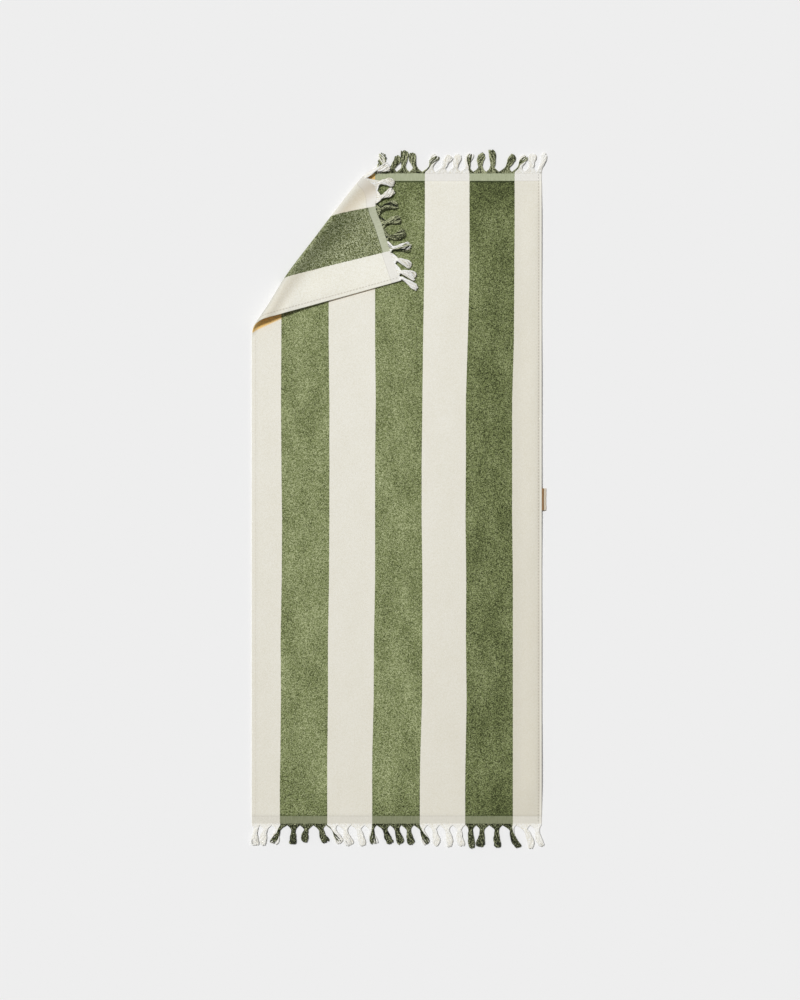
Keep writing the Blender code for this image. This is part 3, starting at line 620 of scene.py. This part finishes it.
def terry(node, look, greens):
    """Cotton terry, woven with loops on both sides; the front's are sheared to a velour.
    Random tufts or loops of a real size stand between slower patches where the pile leans,
    which gives the eye a soft, matt, speckled ground, drawn darker towards the right; a painted
    shade darkens the cream towards the bottom and the right.  Both ends have flat-woven bands,
    whose threads show; painted shade marks the steps beside them and the line along each side
    hem's stitches, and a painted highlight runs along the right edge."""
    flat, across, along = cloth_coordinates(node)
    green = stripe_mask(node, flat, across)
    upper = node("GREATER_THAN", along, 0.0)
    right = node("GREATER_THAN", across, 0.0)
    from_end = node("SUBTRACT", TOP, node("ABSOLUTE", along))
    from_side = node("SUBTRACT", RIGHT, node("ABSOLUTE", across))

    # The pile: single tufts, fluff that is finer than them, and patches of a few centimetres.
    middle, tuft = node("TexVoronoi", flat, 1 / TUFT, out=("Distance", "Color"))
    fluff = node("TexNoise", flat, 400.0, 2.0)
    patches = node("TexNoise", drawn_out(node, flat, 0.45), 16.0, 2.5, 0.5)
    differ = look["tufts_differ"]
    tone = node("MULTIPLY_ADD", node("SeparateColor", tuft), differ, 0.5 - differ / 2)
    tone = node("MULTIPLY_ADD", fluff, 0.16, tone)
    tone = node("SUBTRACT", node("MULTIPLY_ADD", patches, 0.54, tone), 0.35)
    # The pattern is drawn darker towards the right.
    lean = node("MapRange", across, -0.02, 0.26, 0.0, -0.200)
    green_tone = node("ADD", tone, lean)
    if not look["reverse"]:
        # The green pile is drawn darker near the end bands, fading over 15 cm, a little more at
        # the top.
        depth = node("MULTIPLY_ADD", upper, -0.05, -0.13)
        darker_by_bands = node("MapRange", from_end, BAND, BAND + 0.15, depth, 0.0)
        green_tone = node("ADD", green_tone, darker_by_bands)
    # Painted shade: the cream is drawn darker towards the bottom and the right, most on the right
    # margin.
    shaded = node("MULTIPLY_ADD", lean, -0.30, node("MULTIPLY_ADD", along, -0.135, 0.115))
    shaded = node("ADD", shaded, node("MapRange", across, 0.20, 0.34, 0.0, 0.16))
    cream = node("Mix", shaded, node("ValToRGB", tone, colours=look["creams"]), "#B3AA92")
    pile = node("Mix", green, cream, node("ValToRGB", green_tone, colours=greens))

    # The end bands: a plain weave, and threads of uneven colour drawn out along the warps.
    weave = node("MULTIPLY", wave(node, across, BAND_THREAD), wave(node, along, BAND_THREAD))
    threads = node("TexNoise", drawn_out(node, flat, 0.15), 300.0, 1.0)
    woven = node("MULTIPLY_ADD", threads, 0.7, node("MULTIPLY_ADD", weave, 0.15, 0.15))
    top_green, top_cream, low_green, low_cream = (
        node("ValToRGB", woven, colours=pair) for pair in look["bands"])
    band = node("Mix", green, node("Mix", upper, low_cream, top_cream),
                node("Mix", upper, low_green, top_green))
    width = node("MULTIPLY_ADD", green, look["green_band"], BAND)
    in_band = node("LESS_THAN", from_end, width)
    colour = node("Mix", in_band, pile, band)

    # The painted highlight along the right edge, and the painted shade at the steps beside the
    # bands and along the stitches.
    # Painted highlight: a bright row along the right edge.
    painted_edge_highlight = node("MULTIPLY", node("LESS_THAN", from_side, EDGE_HIGHLIGHT), right)
    colour = node("Mix", node("MULTIPLY", painted_edge_highlight, 0.45), colour, "#FFFCF2")
    into_pile, wider = look["green_step"]
    step = node("COMPARE", from_end, node("MULTIPLY_ADD", green, into_pile, width),
                node("MULTIPLY_ADD", green, wider, STEP_HALF))
    step_shade = node("MULTIPLY_ADD", node("MULTIPLY", green, upper), look["top_step"],
                node("MULTIPLY_ADD", green, 0.16, 0.13))
    dash = node("GREATER_THAN", wave(node, along, STITCH_DASH), -0.3)
    seam = node("MULTIPLY", node("COMPARE", from_side, STITCH_IN, SEAM_SHADE_HALF), dash)
    # Painted shade at the steps and along the stitch lines: brown on the cream and dark green on
    # the green.
    sewn = node("MAXIMUM", node("MULTIPLY", step, step_shade),
                node("MULTIPLY", seam, node("MULTIPLY_ADD", right, 0.22, look["stitches"])))
    colour = node("Mix", sewn, colour, node("Mix", green, "#4E4230", "#2F371C"))
    by_the_fold = painted_fold_shade if look["reverse"] else painted_mouth_glow
    colour = by_the_fold(node, colour, green, across, along)

    pile_height = node("MULTIPLY", node("SUBTRACT", fluff, middle), look["tuft_height"])
    band_height = node("MULTIPLY", weave, 0.00018)
    return colour, node("Mix", in_band, pile_height, band_height, data_type="FLOAT")


def plied_yarn(node):
    """Cotton yarn, spun and plied in two: a slanting groove winds round each yarn every 7 mm,
    and each yarn keeps its stripe's colour in its own shade, under a short fuzz.  It gives
    the eye a rope of matt strands that stand out singly."""
    _, around, along = cloth_coordinates(node)
    ply = node("ABSOLUTE", wave(node, node("MULTIPLY_ADD", along, 1 / 0.007, around), 1.0))
    fuzz = node("TexNoise", node("TexCoord", out=("Object",)), 300.0, 2.0)
    tone = node("MULTIPLY_ADD", ply, 0.40, -1.14)
    shade = node("Attribute", attribute_name="shade", out=("Fac",))
    tone = node("MULTIPLY_ADD", fuzz, 2.20, node("MULTIPLY_ADD", shade, 0.70, tone))
    greens = node("ValToRGB", tone, colours=("#0D1007", "#404624", "#C3C79F"),
                  places=(0.15, 0.50, 0.95))
    creams = node("ValToRGB", tone, colours=("#E2DCC9", "#F6F3E9", "#FDFDFB"),
                  places=(0.0, 0.35, 1.0))
    green = node("Attribute", attribute_name="green", out=("Fac",))
    return node("Mix", green, creams, greens), node("MULTIPLY", ply, 0.0006)


def sewing_thread(node):
    """Polyester thread, spun from short fibres, which gives the eye a fine broken sheen.  It
    is a shade pinker than the cloth it is sewn in."""
    strands = node("TexNoise", node("TexCoord", out=("Object",)), 1500.0)
    return node("ValToRGB", strands, colours=("#D9CDBC", "#EFE7DA"), places=(0.3, 0.7)), None


def woven_tape(node):
    """Cotton tape, woven with ribs across it, tan beside the cloth and cream towards its folded
    edge, which is drawn a darker tan.  It gives the eye a flat, close and slightly smoother band."""
    _, out, along = cloth_coordinates(node)
    rib = wave(node, along, TAPE_RIB)
    tone = node("MULTIPLY_ADD", rib, 0.25, 0.5)
    tan = node("ValToRGB", tone, colours=("#7C5D3C", "#A98559"))
    cream = node("ValToRGB", tone, colours=("#DDD0B8", "#F1E8D6"))
    colour = node("Mix", node("GREATER_THAN", out, TAB_BAND), tan, cream)
    fold = node("MULTIPLY", node("GREATER_THAN", out, TAB_OUT - TAB_FOLD), 0.5)
    return node("Mix", fold, colour, "#A98A66"), node("MULTIPLY", rib, 0.00008)


# ---- the cloth
def steps(low, high, step):
    """Even places from low to high, as near to a step apart as fits."""
    return np.linspace(low, high, int(round((high - low) / step)) + 1)


def with_lines(places, low, high, hem, nearest):
    """Places from low to high with the hems' lines and two by each edge put in, and without
    the places that lie too near one of these."""
    inward = np.array([0.0, 0.0008, 0.0026, hem, hem + HEM_STEP])
    lines = np.concatenate([low + inward, high - inward])
    clear = np.abs(places[:, None] - lines[None, :]).min(axis=1) > nearest
    return np.sort(np.concatenate([places[clear], lines]))


def cloth_grid(fine, coarse):
    """Where the cloth's threads are followed: finely where the corner turns over."""
    fold_right, fold_foot = LEFT + 0.36, TOP - 0.50
    across = [steps(LEFT, fold_right, fine), steps(fold_right, RIGHT, coarse)[1:]]
    along = [steps(BOTTOM, fold_foot, coarse), steps(fold_foot, TOP, fine)[1:]]
    return (with_lines(np.concatenate(across), LEFT, RIGHT, SIDE_HEM, fine / 2),
            with_lines(np.concatenate(along), BOTTOM, TOP, END_HEM, fine / 2))


def build_cloth(settings):
    """A closed sheet: the front and reverse sides on one grid, and a rounded rim that joins
    them, whose middle line is pushed out by the rim's setting."""
    x, y = np.meshgrid(*cloth_grid(settings.fine_step, settings.coarse_step))
    back, front = both_sides(x, y)
    inside = np.minimum.reduce([x - LEFT, RIGHT - x, TOP - y, y - BOTTOM])
    rise = undulation(x, y) * eased(inside / PILE_LEVEL_RIM) * settings.unevenness
    front = front + cloth_normal(x, y) * rise[..., None]

    rows, columns = x.shape
    count = rows * columns
    order = np.arange(count).reshape(rows, columns)
    ring = np.concatenate([order[0, :-1], order[:-1, -1], order[-1, :0:-1], order[:0:-1, 0]])
    flat_x, flat_y = x.ravel()[ring], y.ravel()[ring]
    middle = (back.reshape(-1, 3)[ring] + front.reshape(-1, 3)[ring]) / 2
    nudge = 0.004
    inner = reverse_side(np.clip(flat_x, LEFT + nudge, RIGHT - nudge),
                         np.clip(flat_y, BOTTOM + nudge, TOP - nudge))
    middle = middle + unit(back.reshape(-1, 3)[ring] - inner) * settings.rim

    points = np.concatenate([front.reshape(-1, 3), back.reshape(-1, 3), middle])
    front_faces = grid_faces(rows, columns)
    back_faces = grid_faces(rows, columns, count, flipped=True)
    here = np.arange(len(ring))
    after = np.roll(here, -1)
    upper = np.stack([ring[here], 2 * count + here, 2 * count + after, ring[after]], axis=-1)
    lower = np.stack([2 * count + here, count + ring[here], count + ring[after],
                      2 * count + after], axis=-1)
    faces = np.concatenate([front_faces, back_faces, upper, lower])
    slots = np.zeros(len(faces), dtype=np.int32)
    slots[len(front_faces):len(front_faces) + len(back_faces)] = 1
    slots[-len(lower):] = 1
    one_side = np.stack([warp_place(x, y), y], axis=-1).reshape(-1, 2)
    uv = np.concatenate([one_side, one_side, one_side[ring]])
    # The reverse side's painted shade beside the fold and over its crown, as values on its
    # points; the front and the rim get none.
    fold_shade_values = {title: np.concatenate([0 * value.ravel(), value.ravel(), 0 * value.ravel()[ring]])
             for title, value in painted_shade_amounts(x, y).items()}
    front_greens = (settings.green_dark, settings.green_mid, settings.green_light)
    materials = [finished(name, {"Roughness": 0.94, "Sheen Weight": look["sheen"],
                                 "Sheen Roughness": 0.6, "Specular IOR Level": 0.15},
                          terry, look, REVERSE_GREENS if look["reverse"] else front_greens)
                 for name, look in SIDES.items()]
    made = mesh_object("terry_cloth", points, faces.tolist(), materials, uv, fold_shade_values, slots)
    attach(made, "root")
    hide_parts("towel_cloth")
    return made


# ---- tubes and stitches
def rounded_end(paths, profile, radius):
    """The paths and their profile, run on over a dome: three more rings at sine and cosine
    of the angle up the dome."""
    way = unit(paths[:, -1] - paths[:, -2])
    angles = np.radians([35.0, 65.0, 86.0])
    dome = paths[:, -1:] + way[:, None, :] * (np.sin(angles) * radius * profile[-1])[:, None]
    return (np.concatenate([paths, dome], axis=1),
            np.concatenate([profile, profile[-1] * np.cos(angles)]))


def tubes(paths, radii, sides):
    """Round tubes along many paths: at each point of a path, a ring of points square to it,
    p + r (cos a * side + sin a * up).  Gives points, faces and a UV of (turn, length)."""
    many, count, _ = paths.shape
    tangent = unit(np.gradient(paths, axis=1))
    side = unit(np.cross(tangent, np.array([0.0, 0.0, 1.0])))
    up = np.cross(side, tangent)
    angle = 2 * math.pi * np.arange(sides) / sides
    ring = (np.cos(angle)[:, None] * side[:, :, None, :]
            + np.sin(angle)[:, None] * up[:, :, None, :])
    points = paths[:, :, None, :] + ring * radii[:, :, None, None]
    went = np.cumsum(np.linalg.norm(np.diff(paths, axis=1), axis=2), axis=1)
    length = np.concatenate([np.zeros((many, 1)), went], axis=1)
    uv = np.stack([np.broadcast_to(np.arange(sides) / sides, (many, count, sides)),
                   np.broadcast_to(length[:, :, None], (many, count, sides))], axis=-1)
    start = np.arange(many) * count * sides
    i = np.arange(count - 1)[None, :, None] * sides
    j = np.arange(sides)[None, None, :]
    a, b = start[:, None, None] + i + j, start[:, None, None] + i + (j + 1) % sides
    quads = np.stack([a, a + sides, b + sides, b], axis=-1).reshape(-1, 4)
    caps = [list(range(s, s + sides)) for s in start]
    caps += [list(range(s + (count - 1) * sides, s + count * sides))[::-1] for s in start]
    return points.reshape(-1, 3), quads.tolist() + caps, uv.reshape(-1, 2)


def build_stitching(settings):
    """Lines of lockstitch along both side hems, on both sides: each stitch is a short tube
    that bows up by a part of its thickness and dips into the cloth at both ends."""
    ends = np.arange(BOTTOM + END_HEM + STITCH_FROM_HEM, TOP - END_HEM - STITCH_FROM_HEM,
                     settings.stitch_pitch)
    share = np.linspace(0, 1, 6)
    along = ends[:, None] + share[None, :] * settings.stitch_length
    rise = (np.sin(math.pi * share) * 0.55 - 0.35) * settings.thread
    paths = []
    for at in (LEFT + STITCH_IN, RIGHT - STITCH_IN):
        x = np.full_like(along, at)
        back, front = both_sides(x, along)
        normal = cloth_normal(x, along)
        paths += [front + normal * rise[None, :, None], back - normal * rise[None, :, None]]
    paths = np.concatenate(paths)
    paths[..., 2] = np.maximum(paths[..., 2], settings.thread * 0.5)
    points, faces, _ = tubes(paths, np.full(paths.shape[:2], settings.thread / 2), 5)
    thread = finished("spun_polyester_thread", {"Roughness": 0.7}, sewing_thread)
    made = mesh_object("hem_stitching", points, faces, [thread])
    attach(made, "root")
    return made


# ---- tassels
def root_places(first, ends):
    """The start and end of each tassel's root along the hem, from the left edge."""
    return np.concatenate([[first], ends[:-1]]), ends


def floor_tassels(tassels, first, hem_y, outward):
    """Roots, necks and tips of the tassels that lie on the floor: a neck is under its root's
    middle, but for a share of its tip's lean."""
    start, end = root_places(first, tassels["root_end"])
    middle = (start + end) / 2
    neck_x = middle + (tassels["tip"] - middle) * NECK_LEAN
    level = np.zeros_like(neck_x)
    neck = np.stack([LEFT + neck_x, hem_y + outward * NECK_OUT + level, level], -1)
    tip = np.stack([LEFT + tassels["tip"], hem_y + outward * tassels["out"], level], -1)
    return start, end, neck, tip, level


def turned_tassels():
    """Roots, necks and tips of the tassels on the turned hem, straight from their table."""
    start, end = root_places(0.0, TURNED_TASSELS["root_end"])
    neck, tip = (np.stack([LEFT + TURNED_TASSELS[part], TOP - TURNED_TASSELS[part + "_down"],
                           TURNED_TASSELS[part + "_rest"]], -1) for part in ("neck", "tip"))
    return start, end, neck, tip, TURNED_TASSELS["bow"]


def tassel_yarns(tassels, hem_y, outward, settings, look):
    """The yarns of a fringe.  They leave the hem side by side, close up to a neck and swell
    to a tuft, in which they wind round each other: in the bundle's section a yarn sits at a
    sunflower point (a, b), turned further with each station."""
    start, end, neck, tip, bow = tassels
    random = np.random.default_rng(look["seed"])
    tuft_width = settings.tuft_width * look["wide"]
    tuft_height = settings.tuft_height * look["tall"]
    many, yarns, thick = len(start), settings.yarns, settings.yarn_thick
    beside_fold = start[0] != 0
    number = np.arange(yarns)
    spread = np.sqrt((number + 0.5) / yarns)
    golden = number * math.pi * (3 - math.sqrt(5))
    a, b = spread * np.cos(golden), spread * np.sin(golden)
    rank = np.argsort(np.argsort(a)) / (yarns - 1)

    root_x = LEFT + (start + ROOT_GAP)[:, None] + (end - start - 2 * ROOT_GAP)[:, None] * rank
    stations = []
    for out in ROOT_OUT:
        back, front = both_sides(root_x, np.full_like(root_x, hem_y + outward * out))
        stations.append(back + (front - back) * ROOT_DEPTH)
    root = stations[-1]
    way = tip - neck
    reach = np.linalg.norm(way, axis=1)
    way = way / reach[:, None]
    side = unit(np.stack([-way[:, 1], way[:, 0], np.zeros(many)], -1))
    along_hem = root[:, np.argmax(rank)] - root[:, np.argmin(rank)]
    side *= np.sign((side * along_hem).sum(axis=1, keepdims=True))
    # The top fringe's first tassel, beside the fold, is fuller and wound further.
    full = np.minimum(1.0, THIN_ROOT[0] + (end - start) / THIN_ROOT[1])
    full[0] *= 1.3 if beside_fold else 1.0
    neck_half = (tuft_width - thick) / 2 * YARN["wide"][0] * full
    neck_half = neck_half * (1 - look["flare"] / 2)
    gathered = neck[:, None, :] + side[:, None, :] * (a * neck_half[:, None])[..., None]
    collar = root + (gathered - root) * COLLAR
    collar = collar + (neck - root.mean(axis=1))[:, None, :] * COLLAR_LAG
    collar[..., 2] += thick * 0.4
    stations.append(collar)
    bend = np.where(bow == 0, random.uniform(-1, 1, many) * settings.bend, bow)
    green = on_green(root_x, np.full_like(root_x, hem_y - outward * 0.01))
    turn = random.uniform(0.8, 1.5, many) * settings.twist * random.choice([-1, 1], many)
    for tassel, kinds in look["green"].items():
        green[tassel] = np.isin(number % 3, kinds)
    # A tassel of both colours is wound so that its green yarns end on top.
    greens = green.mean(axis=1)
    over = np.sign((np.where(green, a, 0.0)).sum(axis=1))
    turn = np.where((greens > 0.1) & (greens < 0.9), over * 2.2, turn)
    turn[0] = 7.0 if beside_fold else turn[0]
    splay = random.normal(0, 1, (many, 3))[:, number % 3] * settings.splay * look["splay"]
    uneven, round_end = look["cut"]
    short = 1 - uneven * random.uniform(0, 1, (many, yarns)) - round_end * a ** 2

    for share, wide, tall in zip(YARN["share"], YARN["wide"], YARN["tall"]):
        angle = (turn * share)[:, None]
        across = (a * np.cos(angle) - b * np.sin(angle))
        height = (a * np.sin(angle) + b * np.cos(angle)) * 0.5 + 0.5
        went = share * short
        centre = neck[:, None, :] + way[:, None, :] * (reach[:, None] * went)[..., None]
        centre = centre + side[:, None, :] * (bend[:, None] * 4 * went * (1 - went)
                                              * reach[:, None])[..., None]
        wide = wide * (1 + look["flare"] * (share - 0.5))
        half = (tuft_width / 2 - thick / 2) * wide * full[:, None]
        spot = centre + side[:, None, :] * (across * half + splay * share ** 2)[..., None]
        spot[..., 2] += thick / 2 + height * (tuft_height - thick) * tall
        spot += random.normal(0, STRAY, spot.shape) * [1, 1, 0.4]
        stations.append(spot)
    stations = np.stack(stations, axis=2)
    stations[..., 2] = np.maximum(stations[..., 2], thick * 0.42)
    paths = smooth_path(stations, settings.yarn_points).reshape(many * yarns, -1, 3)

    profile = np.concatenate([YARN_ROOT_THICK, YARN["thick"]])
    place = np.linspace(0, len(profile) - 1, settings.yarn_points)
    profile = np.interp(place, np.arange(len(profile)), profile)
    paths, profile = rounded_end(paths, profile, thick / 2)
    radii = np.broadcast_to(profile * thick / 2, paths.shape[:2])
    points, faces, uv = tubes(paths, radii, settings.yarn_sides)

    shade = (0.5 + (random.uniform(0, 1, many * yarns) - 0.5) * look["vary"]
             - look["darker"] * green.ravel())
    each = paths.shape[1] * settings.yarn_sides
    return points, faces, uv, {"green": np.repeat(green.ravel(), each),
                               "shade": np.repeat(shade, each)}


def build_fringe(name, node, tassels, hem_y, outward, settings):
    """One fringe as a piece: its yarns as tubes, in the place of its solid."""
    points, faces, uv, values = tassel_yarns(tassels, hem_y, outward, settings,
                                             FRINGE_LOOKS[name])
    yarn = bpy.data.materials.get("plied_cotton_yarn") or finished(
        "plied_cotton_yarn",
        {"Roughness": 0.92, "Sheen Weight": 0.15, "Specular IOR Level": 0.15}, plied_yarn)
    made = mesh_object(name, points, faces, [yarn], uv, values)
    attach(made, "root")
    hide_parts(node)
    return made


# ---- the tab
def tab_line(near, inset):
    """One side of the tab's folded tape: out along its underside, round a half circle at the
    fold and back along its top, set in from the outside of the tape."""
    middle = TAB_HEIGHT / 2
    radius = middle - inset
    arc = np.linspace(-math.pi / 2, math.pi / 2, 13)
    flat = [near, near + TAB_FLAT]
    x = np.concatenate([flat, near + TAB_OUT - middle + radius * np.cos(arc), flat[::-1]])
    z = np.concatenate([[middle - radius] * 2, middle + radius * np.sin(arc),
                        [middle + radius] * 2])
    return np.stack([x, z], -1)


def build_tab(settings):
    """A tape folded back on itself: a closed U section, its outer line an arc round the
    fold, run along the cloth's edge with its ends a little askew."""
    near = RIGHT + PIECE_GAP
    outer = tab_line(near, 0.0)
    section = np.concatenate([outer, tab_line(near, settings.tape_thick)[::-1]])
    share = np.linspace(0, 1, 40)
    along = TOP - TAB_FROM_TOP - TAB_LENGTH * share
    ripple = 0.0003 * np.sin(9 * share) + 0.0002 * np.sin(23 * share + 1)
    out = (section[:, 0] - near)
    x = section[None, :, 0] + ripple[:, None] * (out / TAB_OUT)[None, :]
    y = np.broadcast_to(along[:, None], x.shape)
    hem = margin_ridge(np.full_like(along, RIGHT), along)
    z = section[None, :, 1] + hem[:, None] * (1 - out / TAB_OUT)[None, :]
    points = np.stack([x, y, z], -1).reshape(-1, 3)
    rows, columns = x.shape
    i, j = np.meshgrid(np.arange(rows - 1), np.arange(columns), indexing="ij")
    k = (j + 1) % columns
    faces = np.stack([i * columns + j, i * columns + k, (i + 1) * columns + k,
                      (i + 1) * columns + j], -1).reshape(-1, 4).tolist()
    for first, flipped in ((0, True), ((rows - 1) * columns, False)):
        for k in range(len(outer) - 1):
            corners = [first + k, first + k + 1, first + columns - 2 - k, first + columns - 1 - k]
            faces.append(corners[::-1] if flipped else corners)
    uv = np.stack([np.broadcast_to(out[None, :], x.shape), y], -1).reshape(-1, 2)
    tape = finished("woven_cotton_tape", {"Roughness": 0.85}, woven_tape)
    made = mesh_object("side_tab", points, faces, [tape], uv)
    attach(made, "root")
    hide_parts("edge_tab")
    return made


# ---- the stage
def build_stage(settings):
    """A pale floor, a softened key light from the upper left, a softer and lower one from the
    same side and a camera straight above that takes in VIEW_HEIGHT."""
    scene = bpy.context.scene
    # Matt emulsion paint, rolled: it gives the eye an even pale ground with no gloss.
    paint = finished("matt_floor_paint", {"Base Color": linear(settings.floor_colour),
                                          "Roughness": 1.0, "Specular IOR Level": 0.0})
    corners = np.array([[-1, -1, 0], [1, -1, 0], [1, 1, 0], [-1, 1, 0]]) * FLOOR_HALF
    floor = mesh_object("floor", corners - [0, 0, FLOOR_DOWN], [[0, 1, 2, 3]], [paint])

    for name, strength, soft, towards in (
            ("key_light", settings.key, 12.0, (0.36, -0.34, -0.869)),
            ("raking_light", settings.raking, 24.0, (0.90, -0.32, -0.290))):
        light = bpy.data.lights.new(name, "SUN")
        light.energy = strength
        light.angle = math.radians(soft)
        lamp = bpy.data.objects.new(name, light)
        lamp.rotation_mode = "QUATERNION"
        lamp.rotation_quaternion = Vector(towards).to_track_quat("-Z", "Y")
        scene.collection.objects.link(lamp)
    world = bpy.data.worlds.new("studio")
    world.use_nodes = True
    room = world.node_tree.nodes["Background"].inputs
    room["Color"].default_value = (1, 1, 1, 1)
    room["Strength"].default_value = settings.ambient
    scene.world = world
    scene.view_settings.view_transform = "Standard"

    lens = bpy.data.cameras.new("camera")
    lens.lens = LENS
    lens.sensor_width = SENSOR
    lens.clip_end = 200.0
    camera = bpy.data.objects.new("camera", lens)
    camera.location = (VIEW_CENTRE[0], VIEW_CENTRE[1], VIEW_HEIGHT * LENS / SENSOR)
    scene.collection.objects.link(camera)
    scene.camera = camera


# ---- settings
def metres(name, description, default):
    """A setting that is a length."""
    return bpy.props.FloatProperty(name=name, description=description, default=default,
                                   unit="LENGTH")


def tint(name, description, default):
    """A setting that is a colour, from its hex default."""
    return bpy.props.FloatVectorProperty(name=name, description=description, subtype="COLOR",
                                         min=0.0, max=1.0, default=linear(default)[:3])


class TowelClothSettings(bpy.types.PropertyGroup):
    """What a user would change on the cloth."""
    green_dark: tint("Dark green", "The pile's green in its shade", "#303619")
    green_mid: tint("Green", "The pile's middle green", "#7E8856")
    green_light: tint("Light green", "The pile's green where it catches light", "#BEC499")
    fine_step: metres(
        "Fine step", "Between threads that are followed at the turned corner", 0.0045)
    coarse_step: metres(
        "Coarse step", "Between threads that are followed where it lies flat", 0.0100)
    unevenness: metres("Unevenness", "How far the pile's surface rises and falls", 0.00035)
    rim: metres("Rim", "How far the rounded edge stands out", 0.0007)


class TowelFringeSettings(bpy.types.PropertyGroup):
    """What a user would change on the fringe and the sewing."""
    yarns: bpy.props.IntProperty(
        name="Yarns", description="Yarns in one tassel", default=16, min=3)
    yarn_thick: metres("Yarn thickness", "A yarn's diameter", 0.0038)
    yarn_points: bpy.props.IntProperty(
        name="Yarn points", description="Points along a yarn", default=30, min=8)
    yarn_sides: bpy.props.IntProperty(
        name="Yarn sides", description="Sides of a yarn", default=6, min=3)
    tuft_width: metres("Tuft width", "A tassel at its widest", 0.0222)
    tuft_height: metres("Tuft height", "A tassel at its thickest", 0.0076)
    twist: bpy.props.FloatProperty(
        name="Twist", description="How far the yarns wind round each other", default=2.2,
        unit="ROTATION")
    splay: metres("Splay", "How far a tassel's locks part at its end", 0.0013)
    bend: bpy.props.FloatProperty(
        name="Bend", description="A tassel's sideways bow over its length", default=0.09)
    thread: metres("Thread", "The sewing thread's diameter", 0.0007)
    stitch_length: metres("Stitch length", "What shows of one stitch", 0.0032)
    stitch_pitch: metres("Stitch pitch", "From one stitch to the next", 0.0040)
    tape_thick: metres("Tape thickness", "The tab's tape", 0.0006)


class TowelStageSettings(bpy.types.PropertyGroup):
    """The floor and the light."""
    floor_colour: tint("Floor", "The floor's colour", "#F2F2F2")
    key: bpy.props.FloatProperty(name="Key light", description="Its strength", default=2.60)
    raking: bpy.props.FloatProperty(
        name="Raking light", description="Its strength", default=0.06)
    ambient: bpy.props.FloatProperty(
        name="Ambient", description="The room's light from all sides", default=0.238)


# ---- operators
class TOWEL_OT_cloth(bpy.types.Operator):
    """Make the terry cloth with its hems and its turned corner"""
    bl_idname = "towel.cloth"
    bl_label = "Cloth"

    def execute(self, context):
        build_cloth(context.scene.towel_cloth)
        return {"FINISHED"}


class TOWEL_OT_stitching(bpy.types.Operator):
    """Sew the side hems"""
    bl_idname = "towel.stitching"
    bl_label = "Hem stitching"

    def execute(self, context):
        build_stitching(context.scene.towel_fringe)
        return {"FINISHED"}


class TOWEL_OT_fringes(bpy.types.Operator):
    """Make the three fringes of yarn tassels"""
    bl_idname = "towel.fringes"
    bl_label = "Fringes"

    def execute(self, context):
        settings = context.scene.towel_fringe
        build_fringe("bottom_tassels", "fringe_bottom",
                     floor_tassels(BOTTOM_TASSELS, 0.0, BOTTOM, -1), BOTTOM, -1, settings)
        build_fringe("top_tassels", "fringe_top",
                     floor_tassels(TOP_TASSELS, TOP_FIRST, TOP, 1), TOP, 1, settings)
        build_fringe("turned_tassels", "fringe_turned", turned_tassels(), TOP, 1, settings)
        return {"FINISHED"}


class TOWEL_OT_tab(bpy.types.Operator):
    """Make the folded tape tab on the right edge"""
    bl_idname = "towel.tab"
    bl_label = "Side tab"

    def execute(self, context):
        build_tab(context.scene.towel_fringe)
        return {"FINISHED"}


class TOWEL_OT_sheet(bpy.types.Operator):
    bl_idname = "towel.sheet"
    bl_label = "Flat size"

    def execute(self, context):
        return {"FINISHED"}


class TOWEL_OT_stage(bpy.types.Operator):
    """Make the floor, the lights and the camera"""
    bl_idname = "towel.stage"
    bl_label = "Stage"

    def execute(self, context):
        build_stage(context.scene.towel_stage)
        return {"FINISHED"}


OPERATORS = (TOWEL_OT_cloth, TOWEL_OT_stitching, TOWEL_OT_fringes, TOWEL_OT_tab, TOWEL_OT_sheet,
             TOWEL_OT_stage)
GROUPS = {"towel_cloth": TowelClothSettings, "towel_fringe": TowelFringeSettings,
          "towel_stage": TowelStageSettings}


class TOWEL_PT_sidebar(bpy.types.Panel):
    """The towel's operators and settings"""
    bl_label = "Beach towel"
    bl_idname = "TOWEL_PT_sidebar"
    bl_space_type = "VIEW_3D"
    bl_region_type = "UI"
    bl_category = "Towel"

    def draw(self, context):
        for one in OPERATORS:
            self.layout.operator(one.bl_idname)
        for group in GROUPS:
            for name in GROUPS[group].__annotations__:
                self.layout.prop(getattr(context.scene, group), name)


CLASSES = (*GROUPS.values(), *OPERATORS, TOWEL_PT_sidebar)


def register():
    for one in CLASSES:
        bpy.utils.register_class(one)
    for name, group in GROUPS.items():
        setattr(bpy.types.Scene, name, bpy.props.PointerProperty(type=group))


def unregister():
    for name in GROUPS:
        delattr(bpy.types.Scene, name)
    for one in reversed(CLASSES):
        bpy.utils.unregister_class(one)


def main():
    register()
    bpy.ops.towel.cloth()
    bpy.ops.towel.stitching()
    bpy.ops.towel.fringes()
    bpy.ops.towel.tab()
    bpy.ops.towel.sheet()
    bpy.ops.towel.stage()


if __name__ == "__main__":
    main()
